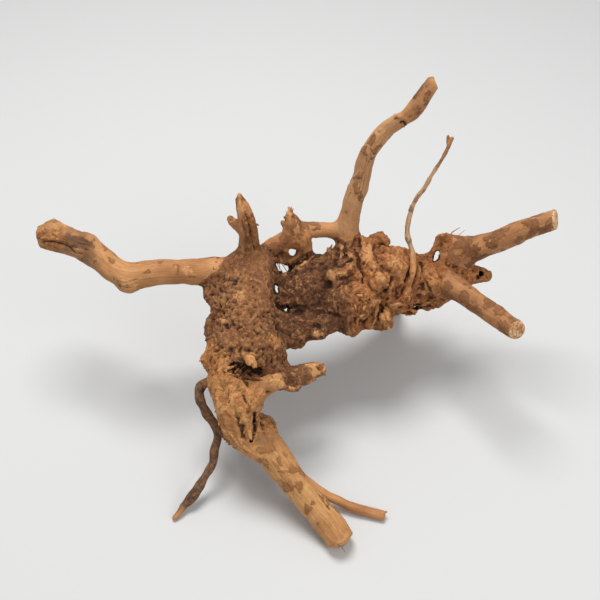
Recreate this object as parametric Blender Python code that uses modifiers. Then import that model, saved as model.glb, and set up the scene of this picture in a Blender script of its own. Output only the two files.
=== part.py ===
"""A branching root of spider wood: a lumpy root crown lifted off the ground by
one stout sawn-off leg, a few thin roots and two short back roots, with
smooth branches that reach left, up and right. It grew as one piece, so it is
one closed solid. Metres, +Z up, ground at z = 0, origin at the bottom centre
of the bounding box, +X along the longest way across, -Y the front.

The runs and lumps are laid out as they look from a fixed eye in front, 45
degrees above the ground. A point is (across, down, height): across and down
on a 600-unit square seen from the eye, height above the ground in layout
units. A radius is in the same units as across and down.
"""

import math
import random

import bmesh
import bpy
from mathutils import Matrix, Vector

# ---------------------------------------------------------------- dimensions
MM_PER_UNIT = 1.055        # one layout unit at real size
EYE_TILT = math.radians(45.0)
EYE_DISTANCE = 853.6       # layout units from the eye to the aim point
EYE_FOCAL = 981.0          # square units per unit of slope
AIM_HEIGHT = 90.0
ORIGIN_SHIFT_MM = (3.97, 58.05)   # moves the layout so the box is centred on the origin

VOXEL = 0.0015             # grain of the skin that joins the runs
THINNEST = 0.0021          # no run is thinner than this radius
SKIN_TRIANGLES = 8800
GROUND_CUT = 0.030


# ------------------------------------------------------------------- layout
def place(u, v, h):
    """(point in layout units, layout units per square unit there)."""
    s, c = math.sin(EYE_TILT), math.cos(EYE_TILT)
    eye = Vector((0.0, -EYE_DISTANCE * c, AIM_HEIGHT + EYE_DISTANCE * s))
    a, b = (u - 300.0) / EYE_FOCAL, (300.0 - v) / EYE_FOCAL
    ray = Vector((a, c + b * s, -s + b * c))
    t = (h - eye.z) / ray.z
    return eye + ray * t, t / EYE_FOCAL


def to_metres(p):
    k = MM_PER_UNIT / 1000.0
    return Vector((p.x * k + ORIGIN_SHIFT_MM[0] / 1000.0,
                   p.y * k + ORIGIN_SHIFT_MM[1] / 1000.0, p.z * k))


def seen(u, v, h, r):
    p, k = place(u, v, h)
    return to_metres(p), r * k * MM_PER_UNIT / 1000.0


def solid(x, y, z, r):
    """A point given straight in layout units, for what the eye can't see."""
    return to_metres(Vector((x, y, z))), r * MM_PER_UNIT / 1000.0


# Each run: points from its root to its tip.
RUNS = {
    "crown_left": [(252, 266, 118, 19), (247, 290, 112, 28), (247, 312, 106, 30),
                   (247, 330, 102, 31), (243, 347, 97, 34.5), (240, 361, 92, 33)],
    "crown_right": [(292, 289, 98, 16), (310, 288, 96, 27), (335, 287, 96, 38),
                    (360, 286, 98, 41), (385, 284, 98, 37), (408, 282, 98, 30),
                    (428, 283, 98, 24), (445, 285, 98, 16)],
    "bridge": [(258, 322, 98, 18), (280, 327, 96, 17), (298, 328, 94, 15),
               (316, 323, 94, 16), (335, 312, 96, 20)],
    "left_arm": [(238, 272, 118, 16), (218, 271, 121, 14.5), (200, 272, 124, 13.6),
                 (180, 272, 127, 12.1), (160, 272.3, 130, 12.7), (145, 274, 132, 13.3),
                 (131, 276.5, 134, 14), (118, 272.5, 136, 13.2), (107, 264, 138, 12.6),
                 (97, 255.5, 140, 13), (87, 248, 142, 13.8), (75, 243, 144, 13.2),
                 (62, 238.5, 146, 14.5), (49, 234, 148, 16), (38, 231, 149, 15)],
    "top_stub": [(251, 264, 124, 15), (250, 252, 134, 12.5), (249, 240, 146, 10.5),
                 (247.5, 228, 158, 9.8), (245.5, 216, 169, 9), (243.5, 207, 177, 7.5),
                 (241, 200, 183, 5.5), (239.5, 196, 187, 3)],
    "top_spur": [(244, 231, 155, 5), (235.5, 225, 160, 5), (230.5, 219, 164, 4.3)],
    "arch_upper": [(258, 260, 119, 10), (268, 250, 125, 8.7), (277, 244.5, 130, 9),
                   (288, 240, 134, 9.5), (300, 238, 135, 10)],
    "arch_lower": [(264, 257, 118, 8), (276, 257.5, 116, 8), (287, 260.5, 114, 7.2),
                   (296, 260, 116, 6.8), (303, 254, 120, 6)],
    "strut": [(303, 238, 134, 8), (306, 248, 126, 6.7), (309, 259, 116, 6.7),
              (312, 270, 108, 9)],
    "bar": [(300, 233, 135, 8.5), (310, 230.2, 136, 7.6), (320, 229.6, 136, 7.5),
            (330, 230, 135, 7.8), (341, 233, 132, 9)],
    "broken_stub": [(299, 234, 138, 9.5), (294, 226, 146, 9), (291, 219, 152, 7.6),
                    (289.5, 212, 158, 3.6)],
    "tall_branch": [(353, 264, 110, 14), (349, 248, 122, 12), (348, 235, 132, 11.2),
                    (348.5, 222, 143, 10.9), (350.5, 210, 154, 10.1), (354, 198, 165, 10.1),
                    (358.8, 187, 175, 9.9), (362.2, 176, 185, 9.2), (364.2, 165, 195, 8.9),
                    (367.2, 155, 204, 8.7), (372, 146.5, 212, 8.5), (379, 137, 220, 8.4),
                    (387, 128.3, 228, 8.5), (396, 122.5, 235, 7.9), (404, 118, 241, 7.4),
                    (412, 112, 248, 8.6), (418.5, 104, 255, 8.7), (424.5, 95.5, 262, 8.0),
                    (430, 87, 268, 7.4), (435.5, 77, 275, 6.8)],
    "whip_root": [(412, 298, 116, 7), (414, 284, 122, 5.8), (416, 272, 126, 4.8),
                  (414, 260, 132, 4.2), (410.5, 248, 140, 3.7), (408.5, 238, 148, 3.2),
                  (407.5, 226, 157, 2.8), (409.5, 214, 166, 2.6), (415, 202, 175, 2.4),
                  (423, 189, 185, 2.3), (431, 177, 194, 2.3), (437, 167, 201, 1.9),
                  (443, 156.5, 208, 1.9), (448.5, 147, 214, 2.0), (452.5, 139, 219, 1.9)],
    "loop_root": [(430, 263, 110, 4), (431.3, 254, 116, 3.2), (434, 245, 122, 3),
                  (438.5, 237.5, 127, 3.7), (446, 234.5, 129, 4.1), (454.5, 235.5, 128, 4),
                  (461.5, 238.5, 125, 4.2), (467, 244.5, 120, 4.4)],
    "upper_branch": [(438, 268, 103, 19), (455, 257, 112, 16), (468, 251, 120, 13.5),
                     (480, 247, 127, 12.5), (500, 240.5, 139, 11), (520, 231.5, 150, 10.8),
                     (540, 224.5, 160, 10.1), (560, 217.7, 170, 9.6)],
    "lower_branch": [(436, 277, 108, 15), (447, 283.5, 110, 13), (460, 291, 112, 11.4),
                     (480, 305, 116, 10.7), (500, 318.5, 120, 10.2), (520, 332.5, 124, 9.4)],
    "hollow_stub": [(446, 272, 100, 12), (462, 274, 100, 11), (475, 275, 98, 11),
                    (485, 276, 97, 9), (489.5, 277, 96, 6)],
    "leg_base": [(232, 384, 86, 22), (235, 402, 79, 21.5), (237, 420, 68, 18.5),
                 (244, 435, 58, 16.5), (256, 446, 52, 14.5)],
    "leg": [(263, 434, 60, 14), (272, 452, 50, 16), (285, 471, 40, 14.6),
            (299, 489, 30, 13.6), (314.5, 508, 20, 13.8), (330, 526, 12.5, 14.4),
            (346, 547, 8, 14)],
    "front_root": [(216, 382, 82, 6), (205, 384, 80, 5), (199, 392, 74, 4.8),
                   (199, 402, 68, 4.5), (206, 414, 58, 4.3), (214, 426, 50, 4.2),
                   (217, 438, 42, 4.2), (214, 452, 34, 4.1), (212, 463, 28, 4),
                   (207, 474, 22, 4), (200, 485, 16, 4.3), (193, 495, 11, 5),
                   (186, 504, 7, 4.2), (179, 513, 4, 3.4), (174.5, 518, 2.2, 3.0)],
    "split_root": [(285, 455, 42, 5), (300, 475, 28, 5), (319, 490.5, 15, 5),
                   (339, 501.5, 8.5, 5), (360, 509.5, 5, 5.2), (389, 517, 2.8, 5.2)],
    "pale_stub": [(240, 402, 82, 14), (254, 393, 91, 12.2), (266, 385.5, 98, 10.6),
                  (275, 381.5, 103, 9)],
    "brown_stub": [(262, 372, 84, 15), (278, 376, 84, 13.5), (292, 376, 84, 12),
                   (303, 373, 84, 10.8), (313, 370, 84, 9.8), (320, 368, 84, 7.4)],
    "nub": [(246, 356, 116, 5), (250, 360, 117, 5.8), (254, 365, 115, 5)],
}

# Lumps of the crown: (across, down, height, radius).
LUMPS = [
    (222, 292, 110, 17), (226, 308, 108, 17), (262, 300, 108, 14), (230, 326, 104, 18),
    (222, 350, 97, 19), (214, 361, 93, 14), (262, 348, 98, 22), (272, 358, 92, 15),
    (236, 346, 104, 18), (250, 290, 118, 14),
    (308, 289, 104, 22), (292, 281, 100, 13), (300, 300, 94, 16), (317, 331, 97, 10.5),
    (296, 337, 94, 12.5), (333, 319, 90, 14), (350, 323, 90, 13), (368, 317, 92, 13),
    (381, 311, 94, 12), (386.5, 321, 97, 6.5), (340, 300, 108, 20), (360, 300, 112, 18),
    (405, 302, 92, 13), (424, 299, 92, 13), (443, 297, 93, 11),
    (330, 276, 124, 9), (340, 272, 126, 8.5), (351, 268, 126, 8), (338, 254, 122, 8),
    (350, 256, 122, 8), (326, 264, 118, 10), (316, 270, 114, 11),
    (366, 246, 128, 9), (370, 262, 130, 6.5), (374, 272, 128, 7.5), (378, 281, 124, 9),
    (374, 246, 122, 10), (382, 243.5, 124, 10.5), (395, 268, 116, 17), (403, 256, 114, 9),
    (430, 280, 108, 14), (128, 286, 130, 6.5),
    (262, 424, 58, 11), (268, 425, 56, 10), (226, 380, 88, 18),
    (213, 294, 110, 11), (251, 404, 84, 13), (283, 342, 94, 9), (424, 266, 112, 8),
]

# Back roots and back knobs, out of the eye's sight: straight layout units.
BACK_RUNS = {
    "back_root_right": [(66, 14, 84, 25), (76, 38, 56, 18), (84, 60, 28, 12.5),
                        (88, 74, 8, 10.5), (89, 78, -4, 10)],
    "back_root_left": [(-50, -18, 80, 23), (-58, -4, 50, 16), (-64, 6, 22, 11.5),
                       (-66, 11, 6, 9.5), (-66, 13, -4, 9)],
    "back_stub": [(96, 18, 98, 18), (103, 32, 92, 13), (110, 46, 84, 10.5), (115, 57, 77, 7.5)],
    "back_knuckle": [(-36, -2, 108, 18), (-30, 16, 112, 13), (-26, 28, 108, 9)],
}
BACK_LUMPS = [
    (60, 30, 100, 18), (88, 26, 92, 18), (104, 12, 106, 15), (10, 16, 80, 17),
    (72, 12, 66, 19), (36, 14, 66, 17), (-62, -30, 84, 20), (-40, -34, 74, 18),
    (-58, -6, 96, 19), (118, 10, 92, 14),
]

# Seeded small knobs that roughen the crown: how far out along the skin of the
# crown they sit, and how big they are.
KNOB_SEED = 11
KNOB_RUNS = {"crown_right": 64, "crown_left": 34, "bridge": 8}
KNOB_RADIUS = (4.5, 9.5)


def knobs():
    rng = random.Random(KNOB_SEED)
    made = []
    for name, count in KNOB_RUNS.items():
        line = smooth([seen(*p) for p in RUNS[name]], 0.004)
        for _ in range(count):
            at, r = line[rng.randrange(len(line))]
            turn = Vector((rng.gauss(0, 1), rng.gauss(0, 1), rng.gauss(0, 1))).normalized()
            size = rng.uniform(*KNOB_RADIUS) * MM_PER_UNIT / 1000.0
            made.append((at + turn * (r - size * rng.uniform(0.25, 0.6)), size))
    return made


def smooth(points, step):
    """Catmull-Rom through (place, radius) pairs, one point every step."""
    made = []
    for i in range(len(points) - 1):
        quad = [points[max(i - 1, 0)], points[i], points[i + 1],
                points[min(i + 2, len(points) - 1)]]
        (p0, r0), (p1, r1), (p2, r2), (p3, r3) = quad
        n = max(1, round((p2 - p1).length / step))
        for k in range(n):
            t = k / n
            a, b = t * t, t * t * t
            w = (-t / 2 + a - b / 2, 1 - 2.5 * a + 1.5 * b,
                 t / 2 + 2 * a - 1.5 * b, -a / 2 + b / 2)
            made.append((p0 * w[0] + p1 * w[1] + p2 * w[2] + p3 * w[3],
                         r0 * w[0] + r1 * w[1] + r2 * w[2] + r3 * w[3]))
    made.append(points[-1])
    return made


# ------------------------------------------------------------------ modelling
for old in list(bpy.data.objects):
    bpy.data.objects.remove(old)

wood_parts = bpy.data.collections.new("spiderwood")
cutters = bpy.data.collections.new("cutters")
bpy.context.scene.collection.children.link(wood_parts)
bpy.context.scene.collection.children.link(cutters)


def tube_mesh(name, points):
    """A run as a curve with a round bevel, made a mesh with its caps welded."""
    line = smooth(points, 0.0045)
    curve = bpy.data.curves.new(name, "CURVE")
    curve.dimensions = "3D"
    curve.bevel_depth = 1.0
    curve.bevel_resolution = 4
    curve.use_fill_caps = True
    spline = curve.splines.new("POLY")
    spline.points.add(len(line) - 1)
    for point, (at, r) in zip(spline.points, line):
        point.co = (*at, 1.0)
        point.radius = max(r, THINNEST)
    made = bpy.data.objects.new(name, curve)
    wood_parts.objects.link(made)
    bpy.context.view_layer.update()
    mesh = bpy.data.meshes.new_from_object(made.evaluated_get(bpy.context.evaluated_depsgraph_get()))
    bpy.data.objects.remove(made)
    return mesh


body = bmesh.new()


def add_run(name, points, round_tip=True):
    mesh = tube_mesh(name, points)
    body.from_mesh(mesh)
    bpy.data.meshes.remove(mesh)
    add_ball(*points[0])
    if round_tip:
        add_ball(*points[-1])


def add_ball(at, r):
    r = max(r, THINNEST)
    bmesh.ops.create_icosphere(body, subdivisions=3 if r > 0.006 else 2, radius=r,
                               matrix=Matrix.Translation(at))


SAWN = ("upper_branch", "lower_branch", "tall_branch", "split_root", "left_arm", "leg")
for run, points in RUNS.items():
    add_run(run, [seen(*p) for p in points], run not in SAWN)
for run, points in BACK_RUNS.items():
    add_run(run, [solid(*p) for p in points])
for lump in LUMPS:
    add_ball(*seen(*lump))
for lump in BACK_LUMPS:
    add_ball(*solid(*lump))
for at, r in knobs():
    add_ball(at, r)

bmesh.ops.remove_doubles(body, verts=body.verts, dist=1e-6)
mesh = bpy.data.meshes.new("spiderwood_root")
body.to_mesh(mesh)
body.free()
root = bpy.data.objects.new("spiderwood_root", mesh)
wood_parts.objects.link(root)

skin = root.modifiers.new("grown_together", "REMESH")
skin.mode = "VOXEL"
skin.voxel_size = VOXEL
skin.adaptivity = 0.0
ease = root.modifiers.new("ease", "SMOOTH")
ease.factor = 0.5
ease.iterations = 3


def triangle_count(obj):
    bpy.context.view_layer.update()
    evaluated = obj.evaluated_get(bpy.context.evaluated_depsgraph_get())
    count = sum(len(p.vertices) - 2 for p in evaluated.data.polygons)
    return count


thin = root.modifiers.new("fewer_faces", "DECIMATE")
thin.decimate_type = "COLLAPSE"
thin.use_collapse_triangulate = True
thin.show_viewport = thin.show_render = False
full = triangle_count(root)
thin.show_viewport = thin.show_render = True
thin.ratio = SKIN_TRIANGLES / full


def cut(name, centre, normal, width, depth):
    """Takes away a box that starts at a plane through centre and runs out along normal."""
    box = bpy.data.meshes.new(name)
    bm = bmesh.new()
    bmesh.ops.create_cube(bm, size=1.0)
    n = Vector(normal).normalized()
    frame = n.to_track_quat("Z", "Y").to_matrix().to_4x4()
    size = Matrix.Diagonal((*width, depth, 1.0))
    bmesh.ops.transform(bm, matrix=Matrix.Translation(Vector(centre) + n * depth / 2) @ frame @ size,
                        verts=bm.verts)
    bm.to_mesh(box)
    bm.free()
    cutter = bpy.data.objects.new(name, box)
    cutter.hide_render = True
    cutter.display_type = "WIRE"
    cutters.objects.link(cutter)
    use = root.modifiers.new(name, "BOOLEAN")
    use.operation = "DIFFERENCE"
    use.solver = "EXACT"
    use.object = cutter


def sight(right, up, near):
    """A direction given as the eye sees it: to the right, up, and towards the eye."""
    s, c = math.sin(EYE_TILT), math.cos(EYE_TILT)
    return Vector((right, up * s - near * c, up * c + near * s))


def scoop(name, at, semi, across):
    """Takes away an egg: semi axes along `across`, up the skin, and inwards."""
    egg = bpy.data.meshes.new(name)
    bm = bmesh.new()
    bmesh.ops.create_icosphere(bm, subdivisions=2, radius=1.0)
    x = Vector(across).normalized()
    z = (VIEW - x * VIEW.dot(x)).normalized()
    y = z.cross(x)
    turn = Matrix((x, y, z)).transposed().to_4x4()
    bmesh.ops.transform(bm, matrix=Matrix.Translation(at) @ turn @ Matrix.Diagonal((*semi, 1.0)),
                        verts=bm.verts)
    bm.to_mesh(egg)
    bm.free()
    cutter = bpy.data.objects.new(name, egg)
    cutter.hide_render = True
    cutter.display_type = "WIRE"
    cutters.objects.link(cutter)
    use = root.modifiers.new(name, "BOOLEAN")
    use.operation = "DIFFERENCE"
    use.solver = "EXACT"
    use.object = cutter


VIEW = sight(0.0, 0.0, 1.0)

# Hollows that open towards the eye: the mouth between crown and trunk, the
# rotted end of the short right stub, the socket in the crown, the leg's knot.
scoop("mouth", seen(246, 369, 113, 0)[0], (0.0215, 0.0075, 0.017), sight(0.97, -0.24, 0.0))
scoop("stub_hollow", seen(485, 276, 107, 0)[0], (0.0055, 0.0040, 0.009), sight(1.0, 0.0, 0.0))
scoop("socket", seen(344, 263, 136, 0)[0], (0.0080, 0.0060, 0.010), sight(1.0, 0.3, 0.0))
scoop("leg_knot", seen(263, 431, 72, 0)[0], (0.0065, 0.0040, 0.008), sight(0.3, 1.0, 0.0))

# Sawn and chopped ends, each a plane across its run.
cut("saw_upper_branch", seen(555.0, 220.6, 168, 0)[0], sight(0.90, 0.02, 0.45), (0.06, 0.06), 0.03)
cut("saw_lower_branch", seen(516.5, 330.5, 123.3, 0)[0], sight(0.42, -0.30, 0.86), (0.034, 0.034), 0.02)
cut("saw_tall_branch", seen(435.2, 80.6, 273, 0)[0], sight(0.90, 0.36, 0.10), (0.04, 0.04), 0.02)
cut("chop_split_root", seen(385.0, 515.3, 3.2, 0)[0], sight(0.94, -0.10, 0.20), (0.03, 0.03), 0.02)
cut("chop_arm_upper", seen(45.5, 222.5, 150, 0)[0], sight(-0.50, 0.78, 0.35), (0.08, 0.08), 0.03)
cut("chop_arm_lower", seen(37.5, 236.0, 147, 0)[0], sight(-0.97, -0.22, 0.15), (0.08, 0.08), 0.03)
cut("chop_leg_front", seen(342.0, 545.0, 6, 0)[0], sight(0.22, -0.93, 0.30), (0.07, 0.07), 0.03)
cut("ground", (0, 0, 0), (0, 0, -1), (0.6, 0.6), GROUND_CUT)

for p in root.data.polygons:
    p.use_smooth = True

bark = bpy.data.materials.new("root_wood")
bark.use_nodes = True
shader = bark.node_tree.nodes["Principled BSDF"]
shader.inputs["Base Color"].default_value = (0.42, 0.22, 0.11, 1.0)
shader.inputs["Roughness"].default_value = 0.85
shader.inputs["Metallic"].default_value = 0.0
root.data.materials.append(bark)
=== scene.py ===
"""The looks of the spider wood root: one grown skin with crown, branches, thin roots, bark patches,
sawn faces and hollows, a few loose fibres and bark chips, a pale floor, soft light and the camera."""

import math
import time

import bmesh
import bpy
import numpy as np
from mathutils import Matrix, Vector


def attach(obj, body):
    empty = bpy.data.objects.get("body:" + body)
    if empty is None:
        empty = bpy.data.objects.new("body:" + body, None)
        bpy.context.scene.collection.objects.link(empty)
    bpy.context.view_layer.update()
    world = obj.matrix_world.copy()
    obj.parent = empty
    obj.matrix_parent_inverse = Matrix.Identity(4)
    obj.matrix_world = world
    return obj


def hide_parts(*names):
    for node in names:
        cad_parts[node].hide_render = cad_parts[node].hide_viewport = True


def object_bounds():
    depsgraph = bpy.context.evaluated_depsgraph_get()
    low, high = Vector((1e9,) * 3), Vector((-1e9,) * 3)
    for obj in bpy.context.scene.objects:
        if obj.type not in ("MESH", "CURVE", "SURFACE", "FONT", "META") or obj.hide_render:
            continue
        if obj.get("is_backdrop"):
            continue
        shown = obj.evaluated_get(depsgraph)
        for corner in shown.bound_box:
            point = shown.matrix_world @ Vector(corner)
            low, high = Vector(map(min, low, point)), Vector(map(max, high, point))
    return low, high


T0 = time.time()
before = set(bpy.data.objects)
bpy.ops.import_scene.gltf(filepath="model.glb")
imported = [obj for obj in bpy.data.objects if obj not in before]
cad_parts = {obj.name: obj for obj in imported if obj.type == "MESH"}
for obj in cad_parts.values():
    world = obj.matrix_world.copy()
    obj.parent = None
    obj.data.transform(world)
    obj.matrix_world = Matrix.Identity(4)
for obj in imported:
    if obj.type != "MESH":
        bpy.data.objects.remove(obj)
SIZE = {"cad": [list(map(float, c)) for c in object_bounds()]}

# ---------------------------------------------------------------- the layout
# The same layout as the part: points are (across, down, height, radius) as a
# fixed eye sees them from the front, 45 degrees above the ground.
UNIT = 1.055e-3
TILT = math.radians(45.0)
DIST = 853.6
FOCAL = 981.0
AIM_H = 90.0
SHIFT = np.array([3.97e-3, 58.05e-3, 0.0])
S45, C45 = math.sin(TILT), math.cos(TILT)
EYE = np.array([0.0, -DIST * C45, AIM_H + DIST * S45])
EYE_M = EYE * UNIT + SHIFT
AIM_M = np.array([0.0, 0.0, AIM_H]) * UNIT + SHIFT
RIGHT = np.array([1.0, 0.0, 0.0])
UP = np.array([0.0, S45, C45])
NEAR = np.array([0.0, -C45, S45])


def seen(u, v, h, r=0.0):
    a, b = (u - 300.0) / FOCAL, (300.0 - v) / FOCAL
    ray = np.array([a, C45 + b * S45, -S45 + b * C45])
    t = (h - EYE[2]) / ray[2]
    p = EYE + ray * t
    return np.array([*(p * UNIT + SHIFT), r * t / FOCAL * UNIT])


def solid(x, y, z, r):
    return np.array([*(np.array([x, y, z]) * UNIT + SHIFT), r * UNIT])


def sight(right, up, near):
    d = RIGHT * right + UP * up + NEAR * near
    return d / np.linalg.norm(d)


# name: points; how each run blends with the rest is set in TIGHT below
RUNS = {
    "left_arm": [(238, 272, 118, 16), (218, 271, 121, 14.5), (200, 272, 124, 13.6),
                 (180, 272, 127, 12.3), (160, 272.3, 130, 12.9), (145, 274, 132, 13.5),
                 (131, 276.5, 134, 14.2), (118, 272.5, 136, 13.2), (107, 264, 138, 12.6),
                 (97, 256, 140, 13.2), (87, 248.5, 142, 13.9), (75, 243.5, 144, 13.4),
                 (62, 239, 146, 14.6), (49, 234, 148, 16), (38, 231, 149, 15)],
    "top_stub": [(251, 264, 124, 15), (250, 252, 134, 12.5), (249, 240, 146, 10.5),
                 (247.5, 228, 158, 9.4), (245.5, 216, 169, 8.6), (243, 207, 177, 7.2),
                 (240.5, 200, 183, 4.8), (239.5, 195.5, 187, 2.6)],
    "top_spur": [(244, 231, 155, 5), (235.5, 225, 160, 4.6), (230.5, 219, 164, 3.6)],
    "arch_upper": [(258, 260, 119, 10), (268, 250, 125, 8.7), (277, 244.5, 130, 9),
                   (288, 240, 134, 9.5), (300, 238, 135, 10)],
    "arch_lower": [(264, 257, 118, 8), (276, 256, 116, 9.4), (287, 260, 114, 8.2),
                   (296, 260, 116, 7.8), (304, 254, 120, 6.6)],
    "strut": [(303, 238, 134, 8), (306, 248, 126, 6.7), (309, 259, 116, 6.7),
              (312, 270, 108, 9)],
    "bar": [(300, 233, 135, 8.5), (310, 230.2, 136, 7.6), (320, 229.6, 136, 7.5),
            (330, 230, 135, 7.8), (341, 233, 132, 9)],
    "broken_stub": [(299, 234, 138, 9.5), (294, 226, 146, 8.6), (291, 219, 152, 6.6),
                    (289.5, 212, 158, 3.0), (289, 207.5, 161, 1.7)],
    "broken_jag": [(294, 232, 140, 6), (287, 226, 144, 4), (282.5, 222.5, 146, 2.2)],
    "tall_branch": [(353, 264, 110, 14), (349, 248, 122, 12), (348, 235, 132, 11.2),
                    (348.5, 222, 143, 10.9), (350.5, 210, 154, 10.1), (354, 198, 165, 10.1),
                    (358.8, 187, 175, 9.9), (362.2, 176, 185, 9.2), (364.2, 165, 195, 8.9),
                    (367.2, 155, 204, 8.7), (372, 146.5, 212, 8.5), (379, 137, 220, 8.6),
                    (387, 128.3, 228, 8.7), (396, 122.5, 235, 8.1), (404, 118, 241, 7.3),
                    (412, 112, 248, 8.6), (418.5, 104, 255, 8.7), (424.5, 95.5, 262, 8.0),
                    (429.5, 88, 267, 7.4), (432.5, 83.5, 270, 6.9)],
    "whip_root": [(402, 299, 108, 2.2), (408, 288, 115, 2.5), (412.5, 275, 123, 2.9),
                  (413.5, 262, 130.5, 3.3), (410.8, 249, 139.5, 3.1), (408.5, 238, 148, 2.8),
                  (407.5, 226, 157, 2.6), (409.5, 214, 166, 2.6), (415, 202, 175, 2.4),
                  (423, 189, 185, 2.4), (431, 177, 194, 2.5), (437, 167, 201, 2.0),
                  (443, 156.5, 208, 2.0), (448.5, 147, 214, 2.2), (452.8, 138.5, 219, 2.0)],
    "whip_fork": [(449, 146, 214.5, 2.0), (447.7, 141, 217, 1.9), (447.6, 136.6, 220, 1.7)],
    "loop_root": [(430.5, 264, 110, 4), (431.5, 256, 116, 2.7), (434.5, 247, 122, 2.6),
                  (438.5, 240.0, 127, 3.4), (444, 237.0, 128, 4.2), (450.5, 238.5, 127, 4.4),
                  (458.5, 242.5, 125, 4.6), (467, 247.5, 120, 5)],
    "loop_web": [(449, 252, 118, 8), (450.5, 245, 123, 5.0), (457, 245, 123, 5.0)],
    "upper_branch": [(438, 268, 103, 19), (455, 257, 112, 16), (468, 251, 120, 13.5),
                     (480, 247, 127, 12.5), (500, 240.5, 139, 11.2), (520, 231.5, 150, 11),
                     (540, 224.5, 160, 10.3), (560, 217.7, 170, 9.8)],
    "lower_branch": [(436, 277, 108, 15), (447, 283.5, 110, 13), (460, 291, 112, 11.6),
                     (480, 305, 116, 10.9), (500, 318.5, 120, 10.3), (520, 332.5, 124, 9.6)],
    "hollow_stub": [(446, 272, 100, 12), (460, 275, 100, 12), (471, 275.5, 99, 10),
                    (480, 275, 98, 8.2), (485.5, 275.5, 97, 6.9)],
    "leg_base": [(232, 384, 86, 22), (235, 402, 79, 21.5), (237, 420, 68, 18.5),
                 (244, 435, 58, 16.5), (256, 446, 52, 14.5)],
    "leg": [(263, 434, 60, 14), (272, 452, 50, 16), (285.5, 471, 40, 14.8),
            (299.5, 489, 30, 13.9), (315, 508, 20, 14), (331, 526, 12.5, 14.5),
            (346, 547, 8, 14)],
    "front_root": [(218, 381, 82, 7), (207, 382, 80, 5.2), (200, 390, 74, 4.9),
                   (200, 401, 68, 4.6), (207, 413, 58, 4.4), (214.5, 425, 50, 4.3),
                   (217.5, 438, 42, 4.2), (214.5, 452, 34, 4.1), (212.3, 463, 28, 4.0),
                   (207, 474, 22, 4.1), (200, 485, 16, 4.4), (193, 495, 11, 5.1),
                   (186, 504, 7, 4.2), (179, 513, 4, 3.4), (174.5, 518, 2.2, 2.6)],
    "split_root": [(285, 455, 42, 5), (300, 475, 28, 5), (319, 490.5, 15, 4.8),
                   (339, 501.5, 8.5, 4.9), (360, 509.5, 5, 5.1), (389, 517, 2.8, 5.1)],
    "pale_stub": [(240, 402, 82, 14), (253, 394, 91, 12.0), (265, 386.5, 98, 10.2),
                  (274.5, 382.5, 103, 8.8)],
    "brown_stub": [(262, 372, 84, 15), (278, 377, 84, 13.5), (290, 378, 84, 12),
                   (301, 374, 84, 10.4), (311, 371, 84, 8.8), (319.5, 369.5, 84, 7.2)],
    "nub": [(245.5, 355, 114, 4.6), (249.5, 359, 116, 5.4), (253.5, 364.5, 115, 4.6)],
}
BACK_RUNS = {
    "back_root_right": [(66, 14, 84, 25), (76, 38, 56, 18), (84, 60, 28, 12.5),
                        (88, 74, 8, 10.5), (89, 78, -4, 10)],
    "back_root_left": [(-50, -18, 80, 23), (-58, -4, 50, 16), (-64, 6, 22, 11.5),
                       (-66, 11, 6, 9.5), (-66, 13, -4, 9)],
    "back_stub": [(96, 18, 98, 18), (103, 32, 92, 13), (110, 46, 84, 10.5), (115, 57, 77, 7.5)],
    "back_knuckle": [(-36, -2, 108, 18), (-30, 16, 112, 13), (-26, 28, 108, 9)],
}
CROWN = {
    "crown_left": [(252, 266, 118, 19), (247, 290, 112, 28), (247, 312, 106, 30),
                   (247, 330, 102, 31), (243, 347, 97, 34.5), (240, 361, 92, 33)],
    "crown_right": [(292, 289, 98, 16), (310, 288, 96, 27), (335, 287, 96, 37),
                    (360, 286, 98, 40), (384, 283, 98, 35), (407, 280, 98, 28),
                    (428, 281, 98, 23), (445, 284, 98, 15)],
    "bridge": [(258, 322, 98, 18), (280, 327, 96, 17), (298, 328, 94, 15),
               (316, 323, 94, 16), (335, 312, 96, 20)],
}
LUMPS = [
    (222, 292, 110, 17), (226, 308, 108, 17), (262, 300, 108, 14), (231, 326, 104, 17),
    (222, 350, 97, 19), (214, 361, 93, 14), (262, 348, 98, 22), (272, 358, 92, 15),
    (236, 346, 104, 18), (250, 290, 118, 14),
    (308, 289, 104, 22), (292, 281, 100, 13), (300, 300, 94, 16), (317, 331, 97, 10.5),
    (296, 337, 94, 12.5), (333, 319, 90, 14), (350, 323, 90, 13), (368, 317, 92, 13),
    (381, 311, 94, 12), (386.5, 321, 97, 6.5), (340, 300, 108, 20), (360, 300, 112, 18),
    (404, 298, 92, 11), (423, 297, 92, 10.5), (442, 295, 93, 9.5),
    (330, 276, 124, 9), (340, 272, 126, 8.5), (351, 268, 126, 8), (338, 254, 122, 8),
    (350, 256, 122, 8), (326, 264, 118, 10), (316, 270, 114, 11),
    (366, 246, 128, 8), (370, 262, 130, 6.5), (374, 272, 128, 7.5), (378, 281, 124, 9),
    (374, 246, 122, 10), (382, 243.5, 124, 10), (395, 268, 116, 17), (403, 256, 114, 9),
    (430, 280, 108, 14), (128, 286, 130, 6.5),
    (262, 424, 58, 11), (268, 425, 56, 10), (226, 380, 88, 18),
    (213, 294, 110, 11), (251, 404, 84, 13), (283, 342, 94, 9), (424, 266, 112, 8),
    (284, 303, 100, 9), (281, 293, 104, 8), (291, 312, 98, 8),
]
BACK_LUMPS = [
    (60, 30, 100, 18), (88, 26, 92, 18), (104, 12, 106, 15), (10, 16, 80, 17),
    (72, 12, 66, 19), (36, 14, 66, 17), (-62, -30, 84, 20), (-40, -34, 74, 18),
    (-58, -6, 96, 19), (118, 10, 92, 14),
]
# Small roots that run over the crown and fuse with it: in sight and out of it.
RIDGES = [
    [(228, 268, 128, 5), (234, 284, 126, 5.5), (232, 300, 122, 5)],
    [(222, 371, 104, 3.4), (230, 369, 106, 3.0), (238, 373.5, 106, 2.6)],
]
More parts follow.
